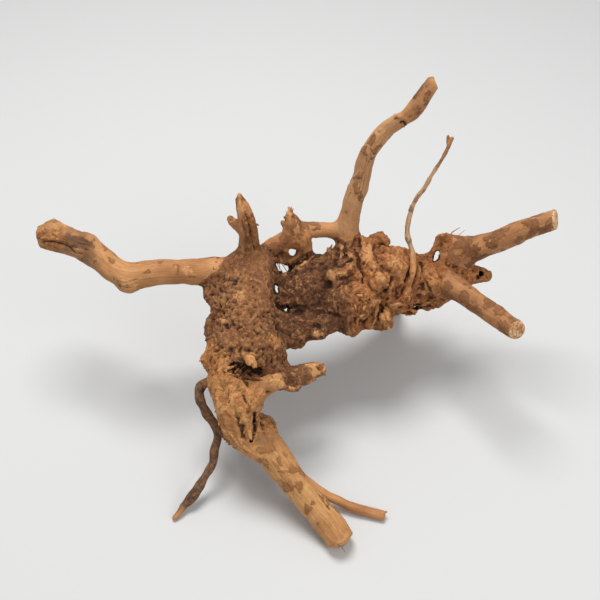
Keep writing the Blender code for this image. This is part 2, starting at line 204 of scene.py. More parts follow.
# Forms drawn on the skin as the eye sees it: rows of (across, down, radius,
# how far they stand out), all in units of the eye's square.
RAISED = [
    # the pale ragged ridge and the round knob below it
    [(361.5, 238.5, 1.8, 1.6), (364, 245, 2.6, 2.6), (367, 252.5, 3.8, 3.4), (370.5, 260, 3.8, 3.0), (372.5, 267, 2.4, 2.4)],
    [(369.3, 245.5, 1.9, 3.2), (370.6, 252, 2.4, 3.8), (368.5, 258.5, 2.4, 3.0)],
    [(364, 250, 4.4, 2.4), (366, 258, 5.0, 2.6), (370, 265, 4.6, 2.4)],
    [(386, 274, 4.4, 3.4), (386, 281, 4.2, 3.0)], [(371.5, 277, 5.0, 2.6), (373.5, 284.5, 4.6, 2.4)],
    [(404.5, 283, 4.0, 3.0), (408.5, 274.5, 3.6, 3.0)], [(418.3, 275, 3.0, 2.8), (416.5, 284, 3.0, 2.6), (411, 292.5, 3.0, 2.2)],
    [(284, 250, 2.2, 1.0), (288.0, 251.4, 2.4, 1.4)],
    [(373.5, 261, 1.5, 3.0), (375.4, 270, 1.4, 2.6)], [(366, 268, 3.4, 2.0), (368, 273, 3.0, 1.8)],
    [(378.5, 276.5, 4.4, 3.4), (380.2, 280.5, 6.4, 6.0)], [(377.5, 286.5, 3.6, 2.2), (375.5, 290.5, 2.6, 1.2)],
    # broad smooth masses between the ridge and the whip
    [(386, 251, 6.0, 3.2), (392, 253.5, 8.5, 5.6), (399, 255, 8.5, 6.0), (404, 258, 6.5, 4.4)],
    [(388, 262, 9.0, 6.0), (396.5, 264.5, 12.0, 8.2), (400, 270, 9.5, 7.0)], [(397, 268, 11.0, 7.8), (396, 277, 8.5, 6.0), (392, 284.5, 5.2, 3.2)],
    [(374, 241, 5.5, 3.0), (381, 237, 6.2, 4.0), (387, 241, 4.6, 2.6)],
    [(399, 253, 3.6, 1.4), (404, 249, 3.0, 1.4)],
    # the whip's foot splits into cords that run down the burl
    [(411.5, 256, 3.0, 1.8), (413.5, 266, 3.0, 2.2), (412, 276, 2.8, 2.2), (405.5, 287, 2.8, 2.0), (397, 296, 2.2, 1.2)],
    [(417, 262, 2.4, 1.6), (419, 271, 2.4, 1.6), (415, 283, 2.4, 1.6), (407, 294, 2.2, 1.2)],
    [(410, 290, 2.6, 1.4), (402, 299, 2.4, 1.2), (394, 304, 2.2, 1.0)],
    # the swollen foot of the lower branch
    [(429, 268, 5.5, 2.6), (431, 277, 8.5, 4.8), (433.5, 286, 9.5, 5.0), (437, 294, 7.5, 3.2)],
    [(420, 291, 3.4, 2.0), (424, 294, 4.2, 2.6), (427, 298, 3.0, 1.6)],
    # the torn spur: upright plates with an arm to the right
    [(383, 304, 1.8, 1.8), (386, 311, 2.2, 3.6), (388, 318, 2.4, 4.4), (387.5, 327, 1.6, 3.4)],
    [(379.5, 312, 1.5, 1.6), (382, 319, 1.7, 3.0), (385, 328.5, 1.3, 2.6)],
    [(389, 306, 1.9, 3.4), (395, 306.5, 1.6, 4.0), (401, 303, 1.2, 3.6)],
    [(376, 303, 1.6, 1.8), (382, 300, 1.7, 2.2), (388, 301, 1.5, 1.8)],
    [(373, 313, 1.6, 1.6), (377, 320, 1.8, 2.2), (379, 326, 1.3, 1.8)],
    # bark strips along the lower right of the burl
    [(402, 303, 2.2, 1.4), (416, 299, 2.4, 1.6), (431, 301, 2.2, 1.4), (445, 297, 1.8, 1.0)],
    [(399, 309, 1.8, 1.2), (409, 310, 1.8, 1.6), (417, 312, 1.4, 1.8)],
    # the folded socket: two lobes over a bright lip that rises to the right
    [(326, 248.5, 4.4, 2.8), (330.5, 253, 5.4, 3.8), (332.5, 258, 3.8, 2.6)],
    [(340.6, 245.5, 1.9, 2.6), (343, 247.8, 1.7, 2.4)],
    [(346.5, 252.5, 2.6, 3.0), (350, 255.3, 3.5, 4.0), (352.5, 256.5, 2.2, 2.4)],
    [(341.2, 254, 3.6, 1.0), (341, 260, 3.2, 1.2)],
    [(327, 271.5, 3.8, 3.0), (330.5, 276, 5.2, 4.8), (334.5, 280, 3.8, 2.8)],
    [(331.5, 272, 4.4, 3.2), (338.5, 273.5, 5.4, 4.4), (346, 270.5, 5.2, 4.2), (352, 265, 4.2, 3.2), (356, 259.5, 2.6, 1.8)],
    [(357, 252, 1.8, 1.2), (360.6, 258, 1.6, 1.2), (361.5, 267, 1.8, 1.4)],
    # low swells of the dark middle, and its upper rim
    [(287, 281, 9, 5.0)], [(286, 292, 8, 4.6)], [(288, 301, 7, 3.6)], [(303, 294, 24, 3.0)], [(322, 291, 18, 2.2)], [(316, 303, 9, 2.4)], [(343, 293, 8, 1.8), (350, 303, 8, 2.0), (347, 315, 8, 1.8)],
    [(366, 294, 5, 1.6), (371, 301, 5, 1.8), (368, 310, 5, 1.6)], [(298, 272, 7, 1.6), (308, 266, 7, 1.8)],
    [(308, 261, 2.6, 1.4), (315, 259, 2.4, 1.4)],
    # the knob on the lower edge and flakes beside it
    [(314, 333, 3.4, 1.8), (319, 334, 4.2, 2.6), (322, 337, 3.0, 2.0)],
    [(296, 335, 3.0, 1.6), (303, 337, 2.6, 1.4), (309, 334, 2.0, 1.2)],
    # the trunk below the mouth: swollen sheets of bark, a tongue, long strips
    [(217, 381, 5.5, 2.4), (224, 378.5, 6.5, 3.6), (231, 379, 6.0, 3.6), (238, 382, 5.0, 3.0), (243, 386, 3.6, 2.0)],
    [(218, 389, 6.5, 2.6), (220, 397, 6.5, 3.0), (222, 406, 6.0, 2.8), (222, 414, 5.0, 2.0)],
    [(232, 391, 6.5, 2.4), (236, 399, 7.0, 3.2), (240, 408, 7.0, 3.8), (244, 417, 6.0, 4.2), (247.5, 426, 5.4, 4.6), (249.5, 435, 4.2, 4.0), (249.5, 442, 2.6, 2.6)],
    [(229, 404, 4.0, 1.6), (231, 414, 4.0, 2.2), (235, 424, 4.0, 2.8), (238, 433, 3.6, 2.8), (241, 441, 2.4, 1.8)],
    [(247, 391, 4.6, 1.8), (251, 399, 4.8, 2.0), (252, 407, 4.0, 1.8)],
    [(258.5, 418, 1.5, 1.8), (258.5, 427, 1.8, 3.0), (256.5, 435, 1.7, 2.6), (252.5, 443, 1.4, 1.6)],
    [(217, 427, 1.8, 1.2), (224, 437, 2.0, 1.8), (234, 447, 1.8, 1.6), (246, 456, 1.5, 1.0)],
    [(222, 429, 1.6, 1.0), (230, 439, 1.8, 1.6), (241, 449, 1.6, 1.4), (254, 458, 1.3, 0.9)],
    [(230, 434, 1.4, 1.0), (238, 444, 1.7, 1.5), (249, 451, 1.5, 1.2), (260, 456, 1.2, 0.8)],
    [(262, 392, 3.4, 1.6), (257, 400, 3.6, 1.6), (252, 409, 3.0, 1.4)],
    [(264, 421, 1.6, 1.0), (270, 418.5, 2.6, 1.2), (275, 423, 2.6, 1.2), (277, 431, 2.4, 1.0)],
    # the pale stub flares to a blunt end with a worn rim
    [(266, 384, 8.0, 1.0), (272, 382, 8.4, 1.6)],
    [(270.5, 377.5, 1.7, 1.2), (276, 374.3, 1.8, 1.4), (282, 376.3, 1.8, 1.4), (285, 382, 1.8, 1.4), (283.5, 388, 1.8, 1.3), (278, 391, 1.7, 1.1)],
    # scales on the brown stub, rim of its worn end
    [(282, 385, 3.2, 2.2), (288, 388.5, 3.0, 3.0), (295, 389.5, 2.4, 2.8), (300, 386, 2.0, 1.6)],
    [(304, 384, 2.4, 2.0), (310, 382, 2.2, 2.0), (315, 379.5, 1.8, 1.4)], [(303, 366, 1.5, 1.2), (309, 363.5, 1.5, 1.4), (317, 362.5, 1.4, 1.2)],
    [(321, 363.5, 1.3, 1.2), (324, 367.5, 1.3, 1.3), (323.5, 373, 1.2, 1.2)],
    # knot of the left arm, and the rags of its broken end
    [(84, 236, 5.0, 1.6), (91, 239.5, 6.0, 2.6), (97, 245, 5.0, 1.4)],
    [(121, 281, 3.0, 1.0), (128, 284, 4.0, 1.6), (133, 287, 2.6, 1.0)],
    [(38, 229.5, 2.0, 1.2), (45, 231, 2.2, 1.0), (54, 229, 1.8, 0.8)], [(42, 238, 1.8, 0.9), (52, 239, 1.6, 0.8), (66, 241, 1.2, 0.6)],
    # the rotted side of the top stub
    [(244, 212, 1.8, 0.9), (247, 224, 2.0, 1.0), (249, 238, 1.8, 0.9)], [(252, 219, 1.4, 0.8), (255, 232, 1.6, 1.0), (258, 246, 1.4, 0.8)],
    [(240.5, 224, 2.4, 0.9), (242, 232, 2.2, 0.8)],
    # knots on the tall branch and its joint
    [(396, 116.5, 2.2, 0.9), (401, 117, 2.4, 1.2), (406.5, 119.5, 1.8, 0.8)], [(399, 126.5, 1.8, 0.8), (404, 126, 1.6, 1.0)],
    [(361, 174, 3.2, 0.9), (357, 178, 2.4, 0.8)],
    # sharp root crossings on the arch
    [(300, 227, 1.6, 1.0), (303, 235, 1.7, 1.2), (305, 246, 1.5, 0.9)], [(294, 229, 1.4, 1.0), (298, 237, 1.5, 1.2), (300, 247, 1.3, 0.8)],
    [(440, 237, 2.0, 1.4), (446, 234, 1.8, 1.4), (451, 236, 1.6, 1.2)],
    # what fills the clefts between the burl's masses
    [(401, 283, 3.6, 3.2), (397.5, 290, 3.2, 2.6)], [(386.5, 285, 3.2, 2.8), (389, 290, 2.6, 2.0)],
    [(420, 268, 2.2, 2.0), (421, 277, 2.2, 2.0), (417, 287, 2.2, 1.8)], [(335, 284, 4.0, 2.0), (343, 281, 4.0, 1.8)],
]
# Creases and hollows cut the same way: (across, down, radius, depth).
SUNK = [
    [(355, 249, 1.0, 1.8), (358, 257, 1.3, 2.8), (359.2, 267, 1.3, 3.0), (362.5, 276.5, 1.6, 3.2), (362, 283.5, 1.2, 2.0)],
    [(359.3, 238, 0.9, 1.4), (360.8, 247, 0.9, 1.4)], [(375.8, 256, 1.0, 2.0), (377.6, 265, 1.1, 2.2)],
    [(376.5, 244, 1.0, 1.4), (383.5, 244.5, 1.2, 1.8), (391, 248.5, 1.0, 1.2)],
    [(377.5, 262, 1.2, 1.8), (382, 267.5, 1.2, 1.8)], [(389, 284, 1.2, 1.8), (384, 291, 1.3, 2.0), (377, 295.5, 1.2, 1.6)],
    [(409.3, 252, 1.0, 2.0), (409.8, 264, 1.1, 2.4), (406.6, 276, 1.1, 2.4), (399.5, 287, 1.1, 2.0), (392, 296, 1.0, 1.4)],
    [(421.0, 262, 1.2, 2.2), (422, 272, 1.3, 2.8), (419.3, 283, 1.3, 2.8), (414, 293, 1.1, 2.0)],
    [(425.5, 281, 1.2, 1.8), (429.5, 293, 1.2, 2.0), (436, 301, 1.1, 1.6)],
    [(430, 274, 0.9, 1.0), (434, 277, 1.0, 1.3), (438, 279, 0.8, 0.9)],
    [(414.5, 307, 1.9, 4.0), (418.5, 306, 1.5, 3.0)],
    [(334, 262, 1.3, 2.8), (337.5, 265.6, 1.4, 3.4), (342, 265.2, 1.5, 3.6), (347, 262, 1.4, 3.2), (351.5, 259, 1.1, 2.2)],
    [(337.5, 249, 1.0, 2.0), (337.8, 256, 1.2, 2.4)], [(345.3, 250, 0.9, 1.6), (345, 257, 1.0, 1.8)], [(321, 262, 1.0, 1.2), (324, 268, 1.0, 1.4)],
    [(335, 290, 1.1, 1.4), (343, 283.5, 1.1, 1.6), (352, 280.5, 1.1, 1.6), (359, 281, 1.0, 1.2)],
    [(281, 308, 1.1, 1.6), (296, 307.5, 1.0, 1.5), (312, 310, 1.1, 1.6), (330, 314, 1.0, 1.5), (346, 320, 0.9, 1.0)],
    [(293, 270, 0.9, 1.0), (301, 277, 0.9, 1.2), (306, 288, 0.8, 1.0)],
    [(334, 296, 0.9, 1.2), (338, 305, 1.0, 1.4), (336, 315, 0.9, 1.2)], [(356, 292, 0.9, 1.2), (360, 302, 1.0, 1.4), (357, 312, 0.9, 1.0)],
    [(363, 322, 1.1, 1.4), (369, 316, 1.1, 1.6), (373, 308, 1.0, 1.4)], [(391, 311, 1.2, 2.2), (393, 318, 1.1, 1.6)],
    [(320.5, 336.5, 1.2, 2.4)], [(309, 326, 1.0, 1.4), (317, 325, 1.8, 3.6), (321, 327, 1.2, 2.0)],
    [(254.5, 413, 1.2, 2.6), (254.0, 421, 1.7, 5.0), (255.0, 428, 1.8, 5.4), (254.2, 435, 1.6, 5.0), (250.6, 442, 1.2, 3.0)],
    [(262.5, 422, 2.2, 1.6), (264.3, 429, 3.6, 2.6), (265.0, 436, 2.2, 1.6)],
    [(243, 377.5, 1.5, 2.4), (246, 382, 1.7, 3.0), (248.5, 387.5, 1.3, 2.4), (249, 393, 1.0, 1.2)],
    [(309, 479, 0.9, 1.2), (316, 489, 1.1, 2.0), (323.5, 499.5, 1.1, 2.0), (330, 509, 0.9, 1.2)], [(267.5, 392.5, 1.8, 2.2), (271.5, 392.5, 1.2, 1.4)],
    [(243, 424, 1.0, 1.6), (243.5, 431, 1.1, 2.0), (241.5, 438, 0.9, 1.6)],
    [(229, 388, 1.1, 1.4), (228, 397, 1.2, 1.8), (229.5, 408, 1.1, 1.6), (230, 419, 1.0, 1.2)],
    [(245, 388, 1.2, 1.8), (243, 396, 1.1, 1.4), (247, 405, 1.0, 1.2)], [(237, 415, 1.0, 1.2), (240, 426, 1.1, 1.8), (243.5, 436, 1.1, 1.8)],
    [(219, 430.5, 0.8, 1.2), (227.5, 440.5, 0.9, 1.5), (238, 450.5, 0.8, 1.1)], [(228, 436.5, 0.8, 1.2), (236, 445.5, 0.8, 1.3), (248, 453.5, 0.7, 1.0)],
    [(317.5, 366.5, 1.8, 1.8), (320, 371, 1.4, 1.4)], [(272.3, 377.2, 1.5, 1.6)], [(277, 386.8, 0.9, 1.0)],
    [(44, 241.5, 0.9, 1.4), (52, 241.5, 0.9, 1.5), (62, 243.5, 1.0, 1.7), (70, 247.5, 0.9, 1.4), (74, 252, 0.8, 1.0)],
    [(79, 243, 0.8, 0.9), (90, 246, 0.7, 0.8)],
    [(246, 214, 0.8, 1.0), (249.5, 226, 1.0, 1.4), (252, 240, 1.0, 1.4), (255, 250, 0.8, 1.0)], [(243, 226, 0.9, 1.0), (245, 238, 0.9, 1.0)],
    [(255, 221, 0.8, 1.0), (257.5, 233, 0.9, 1.2)],
    [(400, 122.5, 0.9, 1.6), (403.5, 121.5, 1.2, 2.2), (405, 124.5, 0.9, 1.6)],
    [(301.5, 230, 0.7, 0.9), (301.5, 240, 0.7, 0.9)], [(297, 232, 0.7, 0.9), (301, 244, 0.7, 0.8)],
    [(345, 495, 0.6, 0.8), (360, 503.5, 0.7, 0.9), (378, 510, 0.6, 0.8)],
]
# Holes right through, along the eye's line: (across, down, radius, from the skin)
BORES = [
    (292.2, 253.0, 3.1, 22), (280.5, 267.2, 3.6, 150), (284.8, 268.8, 3.4, 150), (277.0, 264.6, 2.2, 150),
    (276.0, 286.8, 1.9, 150), (276.4, 289.2, 1.9, 150), (277.0, 292.0, 1.6, 150), (286.6, 309.4, 2.3, 150), (288.2, 308.8, 1.8, 150),
    (313.5, 239.5, 2.4, 40), (321.5, 243, 5.6, 40), (328.5, 240.5, 3.0, 40), (317, 250.5, 2.6, 40),
    (436.2, 257.0, 2.5, 60), (437.6, 252.5, 2.1, 60), (434.6, 260.0, 1.7, 60),
]
# What hangs below the burl on the right is cut away: (across, down, radius)
TRIMS = [(396.8, 324, 4.8), (396.4, 318.6, 4.2), (403, 323, 9.0), (412, 326, 10.6), (422, 320.5, 10.2),
         (434, 319.5, 10.4), (446, 315.5, 9.6)]
BACK_RIDGES = [
    [(20, 34, 96, 8), (36, 40, 82, 8), (50, 44, 66, 7), (64, 50, 46, 6)],
    [(110, 24, 104, 7), (98, 38, 88, 8), (92, 48, 66, 7)],
    [(-20, 12, 96, 7), (-36, 12, 84, 8), (-52, 8, 66, 7), (-60, 8, 44, 5)],
    [(-66, -50, 84, 6), (-58, -34, 66, 6), (-60, -16, 48, 5)],
    [(120, 8, 82, 7), (104, 2, 70, 7), (88, 6, 58, 6)],
]


def along(points, step):
    """Catmull-Rom through rows of (x, y, z, r), about one row every step."""
    p = np.asarray(points, float)
    out = []
    for i in range(len(p) - 1):
        a, b, c, d = p[max(i - 1, 0)], p[i], p[i + 1], p[min(i + 2, len(p) - 1)]
        n = max(1, int(round(np.linalg.norm((c - b)[:3]) / step)))
        for t in np.arange(n) / n:
            out.append(a * (-t / 2 + t * t - t ** 3 / 2) + b * (1 - 2.5 * t * t + 1.5 * t ** 3)
                       + c * (t / 2 + 2 * t * t - 1.5 * t ** 3) + d * (-t * t / 2 + t ** 3 / 2))
    out.append(p[-1])
    return np.array(out)


LINES = {n: along([seen(*q) for q in pts], 0.0035) for n, pts in RUNS.items()}
LINES.update({n: along([solid(*q) for q in pts], 0.0035) for n, pts in BACK_RUNS.items()})
for n, amount in (("whip_root", 0.20), ("whip_fork", 0.15), ("front_root", 0.16), ("loop_root", 0.15),
                  ("split_root", 0.08)):
    t = np.arange(len(LINES[n])) * 0.55 + len(n)
    LINES[n][:, 3] *= 1 + amount * (0.6 * np.sin(t * 1.7) * np.sin(t * 0.61 + 1) + 0.4 * np.sin(t * 2.9 + 2))
    LINES[n][:, 0] += 0.0005 * np.sin(t * 1.3 + 0.7) * (LINES[n][:, 2] > 0.006)
    LINES[n][:, 2] += 0.0004 * np.sin(t * 1.9 + 2.1) * (LINES[n][:, 2] > 0.006)
CROWN_LINES = {n: along([seen(*q) for q in pts], 0.0045) for n, pts in CROWN.items()}
RIDGE_LINES = [along([seen(*q) for q in pts], 0.003) for pts in RIDGES]
RIDGE_LINES += [along([solid(*q) for q in pts], 0.0035) for pts in BACK_RIDGES]
BALLS = np.array([seen(*q) for q in LUMPS] + [solid(*q) for q in BACK_LUMPS])


# --------------------------------------------------------------------- noise
GRADS = np.array([(x, y, z) for x, y, z in
                  ((1, 1, 0), (-1, 1, 0), (1, -1, 0), (-1, -1, 0), (1, 0, 1), (-1, 0, 1),
                   (1, 0, -1), (-1, 0, -1), (0, 1, 1), (0, -1, 1), (0, 1, -1), (0, -1, -1),
                   (1, 1, 0), (-1, 1, 0), (0, -1, 1), (0, -1, -1))], float)


def noise(p, seed=0):
    """Gradient noise at each row of p, about -1 to 1."""
    cell = np.floor(p).astype(np.int64)
    f = p - cell
    w = f * f * f * (f * (f * 6 - 15) + 10)
    total = np.zeros(len(p))
    for dx in (0, 1):
        for dy in (0, 1):
            for dz in (0, 1):
                h = ((cell[:, 0] + dx) * 73856093) ^ ((cell[:, 1] + dy) * 19349663) \
                    ^ ((cell[:, 2] + dz) * 83492791) ^ (seed * 40503 + 977)
                h &= 0xFFFFFFFF
                h = ((h ^ (h >> 13)) * 1274126177) & 0xFFFFFFFF
                g = GRADS[(h ^ (h >> 16)) & 15]
                d = g[:, 0] * (f[:, 0] - dx) + g[:, 1] * (f[:, 1] - dy) + g[:, 2] * (f[:, 2] - dz)
                wx = w[:, 0] if dx else 1 - w[:, 0]
                wy = w[:, 1] if dy else 1 - w[:, 1]
                wz = w[:, 2] if dz else 1 - w[:, 2]
                total += d * wx * wy * wz
    return total * 1.4


def fbm(p, size, seed, octaves=3, gain=0.5):
    total, amp, norm = 0.0, 1.0, 0.0
    for i in range(octaves):
        total = total + amp * noise(p / (size / 2 ** i), seed + 17 * i)
        norm += amp
        amp *= gain
    return total / norm


def step01(a, b, x):
    t = np.clip((x - a) / (b - a), 0, 1)
    return t * t * (3 - 2 * t)


# ------------------------------------------------- the skin as a distance field
H = 0.00125
PAD = 0.009
ALL = np.vstack(list(LINES.values()) + list(CROWN_LINES.values()) + RIDGE_LINES + [BALLS])
LO = (ALL[:, :3] - ALL[:, 3:]).min(0) - 0.010
HI = (ALL[:, :3] + ALL[:, 3:]).max(0) + 0.010
LO[2] = max(LO[2], -0.014)
DIMS = np.ceil((HI - LO) / H).astype(int) + 1
AX = [LO[i] + H * np.arange(DIMS[i]) for i in range(3)]
FIELD = np.full(DIMS, 1.0, np.float32)


def span(lo, hi):
    i0 = np.clip(np.floor((lo - LO) / H).astype(int), 0, DIMS - 1)
    i1 = np.clip(np.ceil((hi - LO) / H).astype(int) + 1, 1, DIMS)
    return tuple(slice(a, b) for a, b in zip(i0, i1))


def local(sl):
    return (AX[0][sl[0]][:, None, None], AX[1][sl[1]][None, :, None], AX[2][sl[2]][None, None, :])


def cone_into(G, gs, a, b, pad):
    """Lowers G, which covers the slices gs, to the round cone from a to b."""
    lo = np.minimum(a[:3] - a[3], b[:3] - b[3]) - pad
    hi = np.maximum(a[:3] + a[3], b[:3] + b[3]) + pad
    sl = span(lo, hi)
    X, Y, Z = local(sl)
    d = b[:3] - a[:3]
    L = max(float(d @ d), 1e-14)
    t = np.clip(((X - a[0]) * d[0] + (Y - a[1]) * d[1] + (Z - a[2]) * d[2]) / L, 0, 1)
    dist = np.sqrt((X - a[0] - t * d[0]) ** 2 + (Y - a[1] - t * d[1]) ** 2
                   + (Z - a[2] - t * d[2]) ** 2) - (a[3] + t * (b[3] - a[3]))
    view = tuple(slice(s.start - g.start, s.stop - g.start) for s, g in zip(sl, gs))
    G[view] = np.minimum(G[view], dist)


def merge(line, k, pad=PAD):
    """Joins a run or a lump to the field, with a fillet of about k."""
    line = np.atleast_2d(line)
    gs = span((line[:, :3] - line[:, 3:]).min(0) - pad, (line[:, :3] + line[:, 3:]).max(0) + pad)
    G = np.full([s.stop - s.start for s in gs], 1.0, np.float32)
    for i in range(max(len(line) - 1, 1)):
        cone_into(G, gs, line[i], line[min(i + 1, len(line) - 1)], pad)
    F = FIELD[gs]
    h = np.maximum(k - np.abs(F - G), 0) / k
    FIELD[gs] = np.minimum(F, G) - h * h * k / 4


def carve(line, k):
    """Takes a run out of the field, with a rounded lip of about k."""
    line = np.atleast_2d(line)
    pad = PAD
    gs = span((line[:, :3] - line[:, 3:]).min(0) - pad, (line[:, :3] + line[:, 3:]).max(0) + pad)
    G = np.full([s.stop - s.start for s in gs], 1.0, np.float32)
    for i in range(max(len(line) - 1, 1)):
        cone_into(G, gs, line[i], line[min(i + 1, len(line) - 1)], pad)
    F, G = FIELD[gs], -G
    h = np.maximum(k - np.abs(F - G), 0) / k
    FIELD[gs] = np.maximum(F, G) + h * h * k / 4


def field_at(P):
    g = (P - LO) / H
    i = np.clip(np.floor(g).astype(int), 0, DIMS - 2)
    f = np.clip(g - i, 0, 1)
    total = 0.0
    for dx in (0, 1):
        for dy in (0, 1):
            for dz in (0, 1):
                w = (f[:, 0] if dx else 1 - f[:, 0]) * (f[:, 1] if dy else 1 - f[:, 1]) * (f[:, 2] if dz else 1 - f[:, 2])
                total = total + w * FIELD[i[:, 0] + dx, i[:, 1] + dy, i[:, 2] + dz]
    return total


def ray_to(u, v):
    a, b = (u - 300.0) / FOCAL, (300.0 - v) / FOCAL
    return np.array([a, C45 + b * S45, -S45 + b * C45])


def reach_skin(u, v):
    """How far along the eye's line the skin lies; None where it misses."""
    t = np.arange(560.0, 1010.0, 0.6)
    P = (EYE + ray_to(u, v) * t[:, None]) * UNIT + SHIFT
    ok = ((P > LO) & (P < LO + H * (DIMS - 1))).all(1)
    f = np.where(ok, field_at(P), 1.0)
    hit = np.flatnonzero(f < 0)
    if not len(hit):
        return None
    j = max(hit[0], 1)
    return t[j - 1] + (t[j] - t[j - 1]) * f[j - 1] / max(f[j - 1] - f[j], 1e-9)


def drawn(points, sign):
    rows, last = [], None
    for u, v, r, out in points:
        t = reach_skin(u, v)
        t = last if t is None else t
        if t is None:
            continue
        if last is not None and abs(t - last) > 14:
            t = last + np.sign(t - last) * 6
        last = t
        ray = ray_to(u, v)
        one = t / FOCAL
        far = t + sign * (r - out) * one / np.linalg.norm(ray)
        rows.append([*((EYE + ray * far) * UNIT + SHIFT), r * one * UNIT])
    return along(rows, 0.002) if len(rows) > 1 else np.array(rows)


for line in CROWN_LINES.values():
    merge(line, 0.006)
for ball in BALLS:
    merge(ball, 0.0035)
rng = np.random.default_rng(11)
for name, count in (("crown_right", 90), ("crown_left", 40), ("bridge", 10)):
    line = CROWN_LINES[name]
    for _ in range(count):
        at = line[rng.integers(len(line))]
        turn = rng.normal(size=3)
        turn /= np.linalg.norm(turn)
        r = rng.uniform(0.0036, 0.0092)
        if turn @ NEAR > -0.05:
            continue
        merge(np.array([*(at[:3] + turn * (at[3] - r * rng.uniform(0.15, 0.7))), r]), 0.002)
for line in RIDGE_LINES:
    merge(line, 0.0022)
TIGHT = {"whip_root": 0.003, "whip_fork": 0.0015, "loop_root": 0.003, "front_root": 0.004, "split_root": 0.003,
         "arch_lower": 0.003, "nub": 0.001, "top_spur": 0.004, "broken_jag": 0.003}
for name, line in LINES.items():
    merge(line, TIGHT.get(name, 0.008))


for pts in RAISED:
    line = drawn(pts, 1)
    if len(line):
        merge(line, 0.0022 if max(q[2] for q in pts) > 3 else 0.0012)
for pts in SUNK:
    line = drawn(pts, -1)
    if len(line):
        carve(line, 0.0010)


def tunnel(points, k=0.0015):
    carve(along([seen(*q) for q in points], 0.0025), k)


# Hollows: the torn mouth between crown and trunk, the rotted stub end, the
# socket, the slit left of the burl, the leg's knot hole, pits and deep cracks.
tunnel([(223, 360, 120, 3.6), (232, 365, 116, 5.6), (243, 369, 113, 7.2), (256, 372, 110, 6.4), (268, 373.5, 108, 3.6)])
tunnel([(232, 367, 109, 5.5), (245, 370.5, 104, 7.5), (259, 373, 101, 6)])
tunnel([(478, 284, 108, 2.4), (474, 283, 100, 2.6)], 0.001)
tunnel([(483.5, 271.5, 110, 1.8), (481.5, 273.5, 104, 2.6), (478, 275.5, 98, 2.4)], 0.0008)
tunnel([(480.5, 276.5, 108, 2.0), (478, 277.5, 102, 2.2)], 0.0008)
tunnel([(488.5, 276.5, 104, 1.0), (487, 277.5, 100, 1.2)], 0.0006)
for u, v, r, length in BORES:
    t = reach_skin(u, v)
    if t is None:
        continue
    ray = ray_to(u, v)
    ends = [t - 14, t + length]
    carve(np.array([[*((EYE + ray * e) * UNIT + SHIFT), r * t / FOCAL * UNIT] for e in ends]), 0.0012)
for u, v, r in TRIMS:
    ray = ray_to(u, v)
    carve(np.array([[*((EYE + ray * e) * UNIT + SHIFT), r * e / FOCAL * UNIT] for e in (640, 900)]), 0.0014)
# and some on the far side
for pts in ([(30, 36, 104, 5), (34, 46, 96, 5), (38, 52, 90, 4)], [(88, 44, 100, 4.5), (92, 54, 92, 4)],
            [(-58, 14, 92, 4.5), (-60, 18, 84, 4)], [(60, 20, 44, 7), (58, 24, 52, 6)],
            [(-84, -36, 96, 3.5), (-86, -30, 88, 4), (-84, -22, 80, 3)]):
    carve(along([solid(*q) for q in pts], 0.0025), 0.0015)

# Planes across the sawn and chopped ends: (name, point, outward normal, reach)
SAWS = [
    ("saw_upper_branch", seen(555.2, 220.6, 168)[:3], sight(0.88, 0.02, 0.50), 0.022),
    ("saw_lower_branch", seen(517, 330.8, 123.3)[:3], sight(0.42, -0.30, 0.86), 0.017),
    ("saw_tall_branch", seen(435.2, 80.6, 273)[:3], sight(0.90, 0.36, 0.10), 0.019),
    ("chop_split_root", seen(385.0, 515.3, 3.2)[:3], sight(0.94, -0.10, 0.20), 0.012),
    ("chop_arm_upper", seen(45.5, 222.5, 150)[:3], sight(-0.50, 0.78, 0.35), 0.030),
    ("chop_arm_lower", seen(37.5, 236.0, 147)[:3], sight(-0.97, -0.22, 0.15), 0.030),
    ("chop_leg_front", seen(342.0, 545.0, 6)[:3], sight(0.22, -0.93, 0.30), 0.030),
    ("chop_leg_side", seen(350.5, 536.0, 12)[:3], sight(0.80, -0.54, 0.28), 0.022),
    ("chop_leg_top", seen(336.0, 530.0, 27)[:3], sight(0.10, -0.20, 0.97), 0.020),
]
for name, at, n, reach in SAWS:
    sl = span(at - reach, at + reach)
    X, Y, Z = local(sl)
    plane = (X - at[0]) * n[0] + (Y - at[1]) * n[1] + (Z - at[2]) * n[2]
    away = np.sqrt((X - at[0] - 0.4 * reach * n[0]) ** 2 + (Y - at[1] - 0.4 * reach * n[1]) ** 2
                   + (Z - at[2] - 0.4 * reach * n[2]) ** 2) - reach
    FIELD[sl] = np.where(away < 0, np.maximum(FIELD[sl], plane), FIELD[sl])
ground = -AX[2][None, None, :]
FIELD[:] = np.maximum(FIELD, ground)
print("field", DIMS, round(time.time() - T0, 1))


